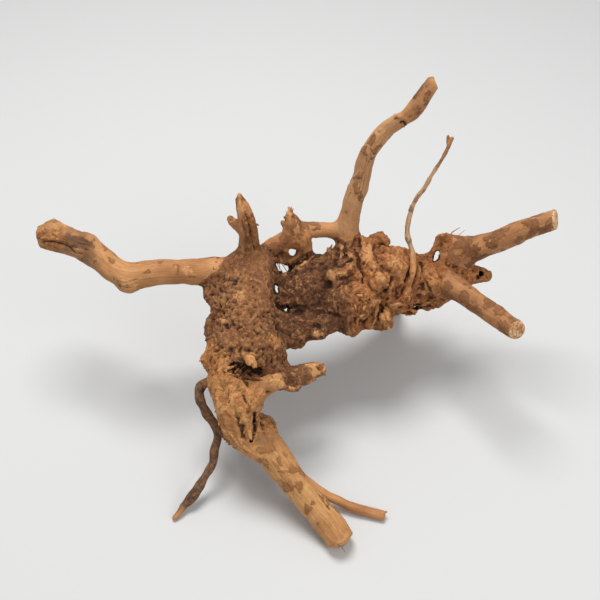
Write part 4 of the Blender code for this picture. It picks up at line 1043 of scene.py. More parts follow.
# soft dark places in the left column: painted shade along its clefts and in the pit by the arm
dark = np.maximum.reduce([dark, 0.60 * torn_blot(234, 281, 10, 5, 0, 0.6), 0.50 * torn_blot(229, 325.5, 12, 3, -4, 0.6),
                          0.40 * torn_blot(256, 331, 16, 2.6, -3, 0.6), 0.45 * torn_blot(277, 328, 3, 9, 0, 0.6),
                          0.35 * torn_blot(266, 314, 9, 2.6, 30, 0.6), 0.35 * torn_blot(268, 352, 10, 5, 0, 0.6)])
pale = np.maximum(pale, flat * 0.55)
mottle = 0.5 + 0.5 * fbm(P, 0.012, 95, 3, 0.6) * 1.6
shade = np.zeros(COUNT)
shade = np.where(owned("left_arm"), 1.0 * step01(108, 88, U_) * mottle * (1 - blot(60, 226, 15, 5, 18, 0.8)), shade)
shade = np.where(owned("tall_branch"), -0.32 + 0.52 * step01(392, 418, U_) * mottle + 0.32 * step01(396, 420, U_)
                 + 1.05 * step01(230, 250, VW) * mottle, shade)
shade = np.where(owned("upper_branch"), 0.38 * mottle, shade)
shade = np.where(owned("lower_branch"), 0.55 * mottle, shade)
shade = np.where(owned("hollow_stub"), 0.45 * mottle, shade)
shade = np.where(owned("brown_stub"), 0.95 * step01(310, 300, U_) + 0.15, shade)
shade = np.where(owned("front_root"), 1.0 * step01(514, 502, V_) + 0.1, shade)
shade = np.where(owned("leg"), 0.9 * step01(0.016, 0.002, np.linalg.norm(V - seen(264, 429, 72)[:3], axis=1) - 0.004), shade)
shade = np.where(owned("top_stub"), 0.5 * step01(212, 226, V_) * mottle, shade)
shade = np.where(owned("back_root_left", "back_root_right", "back_stub", "back_knuckle"), 0.45 * mottle, shade)
shade = np.where(owned("whip_root", "whip_fork"), np.where(V_ < 168, 0.75 * mottle, -1.0 * step01(262, 246, V_)), shade)
gold = np.where(owned("leg"), 0.85, np.where(owned("leg_base", "pale_stub"), 0.55, 0.0))
gold = np.maximum(gold, 0.50 * step01(378, 386, V_) * step01(286, 276, U_) * seen_w)
gold *= 1 - step01(283, 288, U_) * step01(400, 392, V_)
gold = np.maximum(gold, np.where(owned("left_arm"), 0.35 * step01(205, 180, U_), 0))
brown = np.where(owned("front_root"), 1.0 * step01(514, 502, V_), 0.0)
gold = np.maximum(gold, np.where(owned("tall_branch"), 0.24 * step01(400, 385, U_) * step01(238, 222, V_), 0))
brown = np.maximum(brown, np.where(owned("tall_branch"), 0.55 * torn_blot(420.5, 88, 4.2, 13, -38, 0.5), 0.0))
brown = np.maximum(brown, np.where(owned("left_arm"), 0.60 * torn_blot(79, 242, 14, 5, -14, 0.4), 0.0))
# the pale stub's round end stands out from the brown stub behind it
face = blot(277, 381.3, 7.2, 8.8, -12, 0.10)
behind = step01(280, 285, U_) * step01(312, 304, U_) * step01(360, 366, V_) * step01(397, 391, V_) * seen_w * (1 - face)
gold = np.where(face > 0.5, 0.55, gold * (1 - behind))
shade = shade * (1 - face) + 0.6 * behind
warm = warm * (1 - 0.75 * behind)
dark = np.maximum(dark * (1 - face), 0.45 * behind)
shade = np.clip(shade, -1, 1)

# ----------------------------------------------------------------- the mesh
wood_mesh = bpy.data.meshes.new("spiderwood_skin")
wood_mesh.vertices.add(len(V))
wood_mesh.vertices.foreach_set("co", V.astype(np.float32).ravel())
wood_mesh.loops.add(len(Q) * 4)
wood_mesh.loops.foreach_set("vertex_index", Q.astype(np.int32).ravel())
wood_mesh.polygons.add(len(Q))
wood_mesh.polygons.foreach_set("loop_start", np.arange(0, len(Q) * 4, 4, dtype=np.int32))
wood_mesh.update(calc_edges=True)
wood_mesh.validate()


def keep(mesh, name, x, y, z):
    a = mesh.attributes.new(name, "FLOAT_VECTOR", "POINT")
    a.data.foreach_set("vector", np.stack([x, y, z], 1).astype(np.float32).ravel())


flowmix = sure * np.clip(1.2 - rough, 0, 1)
flowmix = np.where(owned("tall_branch"), flowmix * (1 - 0.6 * step01(185, 225, V_)), flowmix)
keep(wood_mesh, "w_flow", flow[:, 0], flow[:, 1], flow[:, 2])
keep(wood_mesh, "w_kind", rough, np.clip(0.5 + 0.5 * hollow, 0, 1), bark)
keep(wood_mesh, "w_spots", pale, sawn, np.clip(deep, 0, 1))
keep(wood_mesh, "w_tone", warm, flowmix, np.clip(dark, 0, 1))
sheet = np.clip(np.maximum(0.9 * step01(378, 388, V_) * step01(278, 268, U_), 0.8 * masses), 0, 1) * np.clip(seen_w * 1.5, 0, 1)
sheet = np.where(owned("leg_base", "leg", "pale_stub"), np.maximum(sheet, 0.8), sheet)
keep(wood_mesh, "w_hue", gold, brown, step01(0.0, 1.0, flaky - 0.4))
lift = step01(374, 384, V_) * step01(282, 270, U_) * np.where(owned("leg"), 0.2, 1.0) * (1 - blot(264.5, 429, 5, 11, 0, 0.4))
lift = np.maximum(lift * seen_w, 0.45 * masses)
lift = np.maximum(lift, 0.26 * column)
lift = np.maximum(lift, 0.75 * torn_end * step01(240, 233, VW))
lift = np.where(owned("top_stub"), np.maximum(lift, 0.35 * step01(249, 255, UW)), lift)
cut_dirt = np.where(np.linalg.norm(V - SAWS[1][1], axis=1) < 0.02, 1.0, 0.0)
keep(wood_mesh, "w_form", sheet, cut_dirt, lift)
keep(wood_mesh, "w_more", groove, flat, shade)

skin = bpy.data.objects.new("spiderwood_skin", wood_mesh)
bpy.context.scene.collection.objects.link(skin)
tris = len(Q) * 2
if tris > 196000:
    less = skin.modifiers.new("less", "DECIMATE")
    less.ratio = 194000 / tris
    less.use_collapse_triangulate = True
    bpy.context.view_layer.update()
    dg = bpy.context.evaluated_depsgraph_get()
    small_mesh = bpy.data.meshes.new_from_object(skin.evaluated_get(dg), preserve_all_data_layers=True, depsgraph=dg)
    skin.modifiers.clear()
    skin.data = small_mesh
    bpy.data.meshes.remove(wood_mesh)
    wood_mesh = small_mesh
wood_mesh.polygons.foreach_set("use_smooth", np.ones(len(wood_mesh.polygons), bool))
print("mesh", len(wood_mesh.polygons), [a.name for a in wood_mesh.attributes], round(time.time() - T0, 1))


# ------------------------------------------------------------- material kit
def srgb(r, g, b):
    def lin(c):
        c = c / 255.0
        return c / 12.92 if c <= 0.04045 else ((c + 0.055) / 1.055) ** 2.4
    return (lin(r * TINT[0]), lin(g * TINT[1]), lin(b * TINT[2]), 1.0)


TINT = (0.985, 0.945, 0.885)


class Nodes:
    """Short names for building one material's nodes."""

    def __init__(self, name):
        self.material = bpy.data.materials.new(name)
        self.material.use_nodes = True
        self.tree = self.material.node_tree
        self.shader = self.tree.nodes["Principled BSDF"]

    def node(self, kind, **values):
        n = self.tree.nodes.new(kind)
        for k, v in values.items():
            setattr(n, k, v)
        return n

    def link(self, a, b):
        self.tree.links.new(a, b)

    def put(self, socket, value):
        if hasattr(value, "is_output"):
            self.link(value, socket)
        else:
            socket.default_value = value

    def attr(self, name):
        n = self.node("ShaderNodeAttribute", attribute_name=name, attribute_type="GEOMETRY")
        s = self.node("ShaderNodeSeparateXYZ")
        self.link(n.outputs["Vector"], s.inputs[0])
        return n.outputs["Vector"], s.outputs[0], s.outputs[1], s.outputs[2]

    def math(self, op, a, b=0.0, c=0.0, clamp=False):
        n = self.node("ShaderNodeMath", operation=op, use_clamp=clamp)
        for s, v in zip(n.inputs, (a, b, c)):
            self.put(s, v)
        return n.outputs[0]

    def mix(self, f, a, b, blend="MIX"):
        n = self.node("ShaderNodeMix", data_type="RGBA", blend_type=blend)
        self.put(n.inputs["Factor"], f)
        self.put(n.inputs["A"] if False else n.inputs[6], a)
        self.put(n.inputs[7], b)
        return n.outputs[2]

    def mixf(self, f, a, b):
        n = self.node("ShaderNodeMix", data_type="FLOAT")
        self.put(n.inputs[0], f)
        self.put(n.inputs[2], a)
        self.put(n.inputs[3], b)
        return n.outputs[0]

    def scaled(self, vector, x, y, z):
        n = self.node("ShaderNodeVectorMath", operation="MULTIPLY")
        self.link(vector, n.inputs[0])
        n.inputs[1].default_value = (x, y, z)
        return n.outputs[0]

    def noise(self, vector, scale, detail=3.0, rough=0.55, distortion=0.0):
        n = self.node("ShaderNodeTexNoise")
        self.link(vector, n.inputs["Vector"])
        n.inputs["Scale"].default_value = scale
        n.inputs["Detail"].default_value = detail
        n.inputs["Roughness"].default_value = rough
        n.inputs["Distortion"].default_value = distortion
        return n.outputs[0]

    def cells(self, vector, scale, feature="F1"):
        n = self.node("ShaderNodeTexVoronoi", feature=feature)
        self.link(vector, n.inputs["Vector"])
        n.inputs["Scale"].default_value = scale
        return n.outputs["Distance"]

    def ramp(self, f, *stops, smooth=False):
        n = self.node("ShaderNodeValToRGB")
        n.color_ramp.interpolation = "EASE" if smooth else "LINEAR"
        e = n.color_ramp.elements
        while len(e) < len(stops):
            e.new(0.5)
        for el, (pos, col) in zip(e, stops):
            el.position = pos
            el.color = col
        self.put(n.inputs[0], f)
        return n.outputs[0]

    def step(self, x, lo, hi):
        n = self.node("ShaderNodeMapRange", interpolation_type="SMOOTHSTEP", clamp=True)
        self.put(n.inputs["Value"], x)
        n.inputs["From Min"].default_value = lo
        n.inputs["From Max"].default_value = hi
        return n.outputs[0]


def wood_material(name):
    m = Nodes(name)
    where = m.node("ShaderNodeTexCoord").outputs["Object"]
    flow_v, _, _, _ = m.attr("w_flow")
    _, rough_a, hollow_a, bark_a = m.attr("w_kind")
    _, pale_a, sawn_a, deep_shade_a = m.attr("w_spots")
    _, warm_a, flow_a, dark_a = m.attr("w_tone")
    _, groove_a, flat_a, shade_a = m.attr("w_more")
    _, gold_a, brown_a, flaky_a = m.attr("w_hue")
    _, sheet_a, dirt_a, lift_a = m.attr("w_form")

    def centred(x, by):
        return m.math("MULTIPLY", m.math("SUBTRACT", x, 0.5), by)

    # grain: streaks along a run, plain mottling on the crown
    streak = m.noise(m.scaled(flow_v, 34, 900, 900), 1.0, 4.0, 0.6, 0.3)
    streak_fine = m.noise(m.scaled(flow_v, 110, 2400, 2400), 1.0, 3.0, 0.65, 0.2)
    plain = m.noise(where, 260, 5.0, 0.66, 0.6)
    plain_fine = m.noise(where, 850, 4.0, 0.68, 0.3)
    fibre = m.mixf(flow_a, plain, streak)
    fibre_fine = m.mixf(flow_a, plain_fine, streak_fine)
    broad = m.noise(where, 30, 3.0, 0.5, 0.8)
    middle = m.noise(where, 95, 5.0, 0.64, 1.2)

    # smooth wood of the branches
    smooth_c = m.ramp(m.math("ADD", m.math("MULTIPLY", broad, 0.50), m.math("MULTIPLY", fibre, 0.50)),
                      (0.30, srgb(142, 96, 62)), (0.44, srgb(174, 124, 82)), (0.56, srgb(193, 144, 99)),
                      (0.70, srgb(212, 166, 120)))
    leg_f = m.math("ADD", m.math("MULTIPLY", fibre, 0.45), m.math("ADD", m.math("MULTIPLY", plain, 0.30), m.math("MULTIPLY", broad, 0.25)))
    gold_c = m.ramp(leg_f, (0.36, srgb(152, 108, 68)), (0.50, srgb(190, 145, 94)), (0.62, srgb(216, 174, 120)))
    smooth_c = m.mix(m.math("MULTIPLY", gold_a, 0.85), smooth_c, gold_c)
    smooth_c = m.mix(m.math("MULTIPLY", m.step(fibre_fine, 0.47, 0.30), 0.42), smooth_c, srgb(118, 78, 48))
    smooth_c = m.mix(m.math("MULTIPLY", m.step(plain_fine, 0.56, 0.72), 0.30), smooth_c, srgb(222, 182, 138))
    # bark islands, cut ragged
    patchy = m.noise(where, 170, 5.0, 0.62, 1.0)
    edge = m.math("ADD", m.math("MULTIPLY_ADD", bark_a, 1.45, -0.22),
                  m.math("ADD", centred(patchy, 2.6), m.math("ADD", centred(plain, 1.3), centred(fibre_fine, 0.9))))
    bark_m = m.step(edge, 0.46, 0.56)
    rim = m.math("MULTIPLY", m.step(edge, 0.30, 0.46), m.math("SUBTRACT", 1.0, bark_m))
    bark_c = m.ramp(m.math("ADD", m.math("MULTIPLY", plain, 0.5), m.math("MULTIPLY", fibre_fine, 0.5)),
                    (0.30, srgb(88, 56, 37)), (0.48, srgb(117, 79, 53)), (0.66, srgb(146, 103, 71)))
    bark_c = m.mix(m.math("MULTIPLY", gold_a, 0.70), bark_c,
                   m.ramp(fibre_fine, (0.34, srgb(124, 82, 48)), (0.64, srgb(172, 122, 76))))
    bark_c = m.mix(m.math("MULTIPLY", brown_a, 0.95), bark_c,
                   m.ramp(fibre, (0.32, srgb(58, 41, 33)), (0.50, srgb(82, 61, 50)), (0.68, srgb(112, 87, 73))))
    # the crown
    mixed = m.math("ADD", m.math("MULTIPLY", middle, 0.40), m.math("ADD", m.math("MULTIPLY", plain, 0.35), m.math("MULTIPLY", plain_fine, 0.25)))
    grey_c = m.ramp(mixed, (0.36, srgb(74, 47, 31)), (0.45, srgb(112, 76, 52)), (0.54, srgb(144, 103, 74)),
                    (0.64, srgb(186, 144, 108)))
    warm_c = m.ramp(mixed, (0.36, srgb(94, 56, 32)), (0.45, srgb(146, 95, 58)), (0.54, srgb(180, 125, 80)),
                    (0.65, srgb(214, 164, 118)))
    dusk_c = m.ramp(mixed, (0.36, srgb(58, 37, 24)), (0.50, srgb(98, 67, 46)), (0.63, srgb(150, 110, 80)))
    crown_c = m.mix(warm_a, grey_c, warm_c)
    crown_c = m.mix(m.math("MULTIPLY", gold_a, 0.75), crown_c,
                    m.ramp(mixed, (0.37, srgb(130, 90, 54)), (0.48, srgb(190, 144, 94)), (0.62, srgb(226, 186, 134))))
    # dark_a darkens the dark middle and the brown stub behind the pale one, and lays painted shade along the left
    # column's clefts
    crown_c = m.mix(m.math("MULTIPLY", dark_a, 0.80), crown_c, dusk_c)
    crown_c = m.mix(m.math("MULTIPLY", m.step(plain_fine, 0.44, 0.32), m.mixf(sheet_a, 0.60, 0.20)), crown_c, srgb(66, 41, 26))
    crown_c = m.mix(m.math("MULTIPLY", m.step(plain_fine, 0.58, 0.70), m.mixf(sheet_a, 0.45, 0.20)), crown_c, srgb(208, 162, 118))
    crown_c = m.mix(1.0, crown_c, (1.03, 0.962, 0.905, 1.0), "MULTIPLY")
    # sheets of bark: broad soft patches with dark broken edges
    sheets = m.math("MULTIPLY", m.noise(where, 120, 4.0, 0.58, 1.0), 5.0)
    part = m.math("FRACT", sheets)
    edge_dark = m.math("MULTIPLY", m.step(part, 0.86, 0.97), m.math("MULTIPLY", sheet_a, m.step(plain, 0.40, 0.56)))
    crown_c = m.mix(m.math("MULTIPLY", lift_a, 0.60), crown_c, m.ramp(middle, (0.36, srgb(164, 108, 66)), (0.50, srgb(206, 152, 100)), (0.64, srgb(240, 192, 138))))
    crown_c = m.mix(m.math("MULTIPLY", edge_dark, 0.62), crown_c, srgb(84, 52, 32))

    shade_p = m.math("MAXIMUM", shade_a, 0.0)
    smooth_c = m.mix(m.math("MULTIPLY", shade_p, m.step(m.math("ADD", middle, m.math("MULTIPLY", fibre, 0.5)), 0.52, 0.92)),
                     m.mix(m.math("MULTIPLY", shade_p, 0.55), smooth_c, srgb(118, 82, 56)), srgb(92, 64, 46))
    smooth_c = m.mix(m.math("MULTIPLY", shade_a, -0.85, clamp=True), smooth_c,
                     m.ramp(fibre, (0.35, srgb(164, 132, 104)), (0.65, srgb(206, 184, 156))))
    smooth_c = m.mix(m.math("MULTIPLY", brown_a, 0.92), smooth_c,
                     m.ramp(fibre, (0.32, srgb(68, 48, 37)), (0.50, srgb(96, 72, 58)), (0.68, srgb(132, 104, 86))))
    c = m.mix(m.math("MULTIPLY", bark_m, m.mixf(m.step(broad, 0.40, 0.60), 0.62, 0.92)), smooth_c, bark_c)
    c = m.mix(m.math("MULTIPLY", rim, 0.22), c, srgb(150, 102, 66))
    blend = m.step(m.math("ADD", rough_a, m.math("ADD", centred(middle, 0.5), centred(plain, 0.4))), 0.34, 0.66)
    c = m.mix(blend, c, crown_c)
    # painted highlight on what stands out, painted shade in what lies deep
    high = m.math("MULTIPLY", m.step(hollow_a, 0.44, 0.18), m.math("ADD", 0.22, m.math("MULTIPLY", blend, 0.34)))
    c = m.mix(m.math("MULTIPLY", high, m.step(plain, 0.40, 0.60)), c, srgb(206, 158, 112))
    pale_c = m.ramp(m.math("ADD", m.math("MULTIPLY", fibre, 0.5), m.math("MULTIPLY", plain_fine, 0.5)),
                    (0.34, srgb(172, 118, 74)), (0.50, srgb(208, 158, 108)), (0.66, srgb(232, 190, 142)))
    c = m.mix(m.step(m.math("ADD", pale_a, m.math("ADD", centred(plain, 0.9), centred(middle, 0.5))), 0.34, 0.62), c, pale_c)
    # painted shade: what lies deep is darkened
    low = m.math("MULTIPLY", m.step(m.math("ADD", hollow_a, centred(plain, 0.30)), 0.56, 0.88), 0.85)
    c = m.mix(low, c, srgb(58, 35, 21))
    # painted shade along the grooves and clefts, with the bark's own dark streaks on the left arm
    c = m.mix(m.math("MULTIPLY", m.step(m.math("ADD", groove_a, centred(plain, 0.8)), 0.10, 0.50), 0.80), c, srgb(62, 39, 25))
    # painted shade in holes, cracks and pits
    c = m.mix(m.math("MULTIPLY", deep_shade_a, m.mixf(plain, 0.70, 0.98)), c, srgb(36, 21, 12))
    # sawn faces: rings, cracks and a rubbed brown edge
    cut_f = m.ramp(m.noise(where, 420, 3.0, 0.6, 0.2), (0.30, srgb(198, 160, 126)), (0.50, srgb(232, 198, 162)),
                   (0.70, srgb(248, 222, 190)))
    ring = m.node("ShaderNodeTexWave", wave_type="RINGS", rings_direction="SPHERICAL")
    m.link(m.scaled(flow_v, 0.0, 1.0, 1.0), ring.inputs["Vector"])
    ring.inputs["Scale"].default_value = 170
    ring.inputs["Distortion"].default_value = 2.5
    ring.inputs["Detail"].default_value = 2.0
    cut_f = m.mix(m.math("MULTIPLY", ring.outputs["Fac"], 0.22), cut_f, srgb(168, 126, 88))
    cut_f = m.mix(m.math("MULTIPLY", m.step(plain, 0.49, 0.40), 0.60), cut_f, srgb(134, 92, 60))
    cut_f = m.mix(m.math("MULTIPLY", m.step(m.cells(where, 520), 0.30, 0.12), 0.45), cut_f, srgb(120, 80, 52))
    cut_f = m.mix(m.math("MULTIPLY", dirt_a, m.step(m.noise(where, 300, 4.0, 0.65), 0.60, 0.40)), cut_f, srgb(166, 122, 84))
    saw_m = m.step(m.math("ADD", sawn_a, centred(plain, 0.5)), 0.40, 0.55)
    c = m.mix(saw_m, c, cut_f)
    m.link(c, m.shader.inputs["Base Color"])

    # roughness: rubbed branches catch a little light, bark and crown none
    r = m.mixf(blend, m.mixf(bark_m, m.mixf(fibre, 0.52, 0.74), 0.82), 0.92)
    r = m.mixf(saw_m, r, 0.85)
    m.link(r, m.shader.inputs["Roughness"])

    # relief too fine for the mesh
    terr = m.math("MULTIPLY", m.noise(where, 150, 4.0, 0.6, 0.8), 7.0)
    frac = m.math("FRACT", terr)
    steps = m.math("SUBTRACT", m.math("ADD", m.math("FLOOR", terr), m.step(frac, 0.70, 1.0)), terr)
    limb_h = m.math("ADD", m.math("MULTIPLY", fibre, 0.7), m.math("ADD", m.math("MULTIPLY", fibre_fine, 0.45),
                                                                 m.math("ADD", m.math("MULTIPLY", bark_m, 0.60),
                                                                        m.math("MULTIPLY", m.math("MULTIPLY", bark_m, plain_fine), 0.8))))
    crown_n = m.math("ADD", m.math("MULTIPLY", plain, m.mixf(sheet_a, 2.8, 0.7)),
                     m.math("ADD", m.math("MULTIPLY", plain_fine, m.mixf(sheet_a, 2.1, 0.6)),
                            m.math("ADD", m.math("MULTIPLY", m.cells(where, 300), m.mixf(sheet_a, 1.4, 0.1)),
                                   m.math("ADD", m.math("MULTIPLY", steps, m.mixf(sheet_a, m.mixf(flaky_a, 0.6, 1.4), 0.5)),
                                          m.math("MULTIPLY", m.math("SUBTRACT", m.math("ADD", m.math("FLOOR", sheets), m.step(part, 0.86, 1.0)), sheets),
                                                 m.math("MULTIPLY", sheet_a, 2.2))))))
    height = m.mixf(blend, limb_h, crown_n)
    height = m.mixf(saw_m, height, m.math("MULTIPLY", m.noise(where, 700, 2.0, 0.5), 0.5))
    bump = m.node("ShaderNodeBump")
    bump.inputs["Strength"].default_value = 0.90
    bump.inputs["Distance"].default_value = 0.0007
    m.link(height, bump.inputs["Height"])
    m.link(bump.outputs[0], m.shader.inputs["Normal"])
    m.shader.inputs["Specular IOR Level"].default_value = 0.35
    return m.material


wood_mesh.materials.clear()
wood_mesh.materials.append(wood_material("root_wood_skin"))
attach(skin, "root")
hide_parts("spiderwood_root")


# ---------------------------------------------------- fibres and bark chips
def strand(bm, pts, r0, r1, sides=5):
    pts = [Vector(p) for p in pts]
    rings = []
    x = None
    for i, p in enumerate(pts):
        t = (pts[min(i + 1, len(pts) - 1)] - pts[max(i - 1, 0)]).normalized()
        x = (t.orthogonal() if x is None else x - t * x.dot(t)).normalized()
        y = t.cross(x)
        r = r0 + (r1 - r0) * i / (len(pts) - 1)
        rings.append([bm.verts.new(p + (x * math.cos(a) + y * math.sin(a)) * r)
                      for a in (2 * math.pi * k / sides for k in range(sides))])
    for a, b in zip(rings[:-1], rings[1:]):
        for k in range(sides):
            bm.faces.new((a[k], a[(k + 1) % sides], b[(k + 1) % sides], b[k]))
    bm.faces.new(rings[0][::-1])
    bm.faces.new(rings[-1])


def fibre_material():
    m = Nodes("root_fibre")
    where = m.node("ShaderNodeTexCoord").outputs["Object"]
    n = m.noise(where, 300, 3.0, 0.6)
    m.link(m.ramp(n, (0.3, srgb(96, 62, 36)), (0.5, srgb(150, 104, 64)), (0.7, srgb(196, 148, 100))),
           m.shader.inputs["Base Color"])
    m.link(m.mixf(n, 0.7, 0.95), m.shader.inputs["Roughness"])
    b = m.node("ShaderNodeBump")
    b.inputs["Strength"].default_value = 0.5
    b.inputs["Distance"].default_value = 0.0003
    m.link(m.noise(where, 1500, 2.0), b.inputs["Height"])
    m.link(b.outputs[0], m.shader.inputs["Normal"])
    return m.material


fibres = bmesh.new()
rng = np.random.default_rng(5)


def seen_strand(a, b, sag, r0=0.00045, r1=0.00018, n=7):
    """A thin fibre between two places on the eye's square, bent a little."""
    a, b = seen(*a)[:3], seen(*b)[:3]
    side = rng.normal(size=3) * 0.4 + np.array([0, 0, sag])
    pts = [a + (b - a) * t + side * math.sin(math.pi * t) * np.linalg.norm(b - a) * 0.3
           for t in np.linspace(0, 1, n)]
    strand(fibres, pts, r0, r1)


for i in range(7):   # in the mouth, low down
    u = 228 + 4.0 * i + rng.uniform(-2, 2)
    seen_strand((u, 366 + rng.uniform(-2, 5), 104), (u + rng.uniform(-16, 16), 376 + rng.uniform(-3, 2), 100),
                rng.uniform(-0.8, 0.2), 0.00026, 0.00014)
for i in range(7):   # in the slit by the arch
    seen_strand((272 + 2.4 * i, 262 + rng.uniform(-1, 2), 116), (276 + 2.4 * i + rng.uniform(-3, 3), 272, 111),
                0.2, 0.00035, 0.0002)
for i in range(6):   # torn tip of the broken stub
    seen_strand((290 + rng.uniform(-3, 3), 216, 154), (286 + 1.6 * i, 206 + rng.uniform(0, 5), 162), 0.1, 0.0005, 0.00015)
seen_strand((448, 239, 127), (460, 227.5, 135), 0.1, 0.0007, 0.0003)
seen_strand((451, 240, 126), (465, 230, 133), -0.2, 0.0006, 0.0002)
seen_strand((337, 541, 8), (345, 552, 5), 0.1, 0.0004, 0.0002)

# curled flakes of bark and torn wood, lifted off the skin
rel2 = V - EYE_M
depth2 = -(rel2 @ NEAR)
U2 = 300 + FOCAL * (rel2 @ RIGHT) / depth2
V2 = 300 - FOCAL * (rel2 @ UP) / depth2
front = np.flatnonzero(seen_w > 0.35)


def on_skin(u, v):
    near = front[np.argsort(np.hypot(U2[front] - u, V2[front] - v))[:12]]
    i = near[np.argmin(depth2[near])]
    return V[i], N2[i]


def flake(bm, p, n, along_dir, length, width, thick, lift, curl):
    """A ragged thin plate that leaves the skin at p and curls away from it."""
    n = Vector(n).normalized()
    d = Vector(along_dir)
    d = (d - n * d.dot(n) * 0.8).normalized()
    w = n.cross(d).normalized()
    cols, rows = 6, 4
    top, low = [], []
    for i in range(cols):
        t = i / (cols - 1)
        half = width * 0.5 * (0.55 + 0.45 * math.sin(math.pi * min(t * 0.9 + 0.15, 1.0))) * (1 + rng.uniform(-0.22, 0.22))
        base = Vector(p) - n * 0.0006 + d * (length * (t - 0.15)) + n * (lift * t + curl * t * t)
        line_t, line_l = [], []
        for j in range(rows):
            q = 2 * j / (rows - 1) - 1
            jag = rng.uniform(-0.10, 0.10) * length if i == cols - 1 else 0.0
            at = base + w * (half * q) + d * jag - n * (width * 0.16 * q * q) + n * rng.uniform(-1, 1) * thick * 0.25
            edge_t = thick * (1.0 if 0 < j < rows - 1 and 0 < i < cols - 1 else 0.45)
            line_t.append(bm.verts.new(at + n * edge_t * 0.5))
            line_l.append(bm.verts.new(at - n * edge_t * 0.5))
        top.append(line_t)
        low.append(line_l)
    for i in range(cols - 1):
        for j in range(rows - 1):
            bm.faces.new((top[i][j], top[i + 1][j], top[i + 1][j + 1], top[i][j + 1]))
            bm.faces.new((low[i][j], low[i][j + 1], low[i + 1][j + 1], low[i + 1][j]))
        bm.faces.new((top[i][0], low[i][0], low[i + 1][0], top[i + 1][0]))
        bm.faces.new((top[i][-1], top[i + 1][-1], low[i + 1][-1], low[i][-1]))
    for j in range(rows - 1):
        bm.faces.new((top[0][j], top[0][j + 1], low[0][j + 1], low[0][j]))
        bm.faces.new((top[-1][j], low[-1][j], low[-1][j + 1], top[-1][j + 1]))


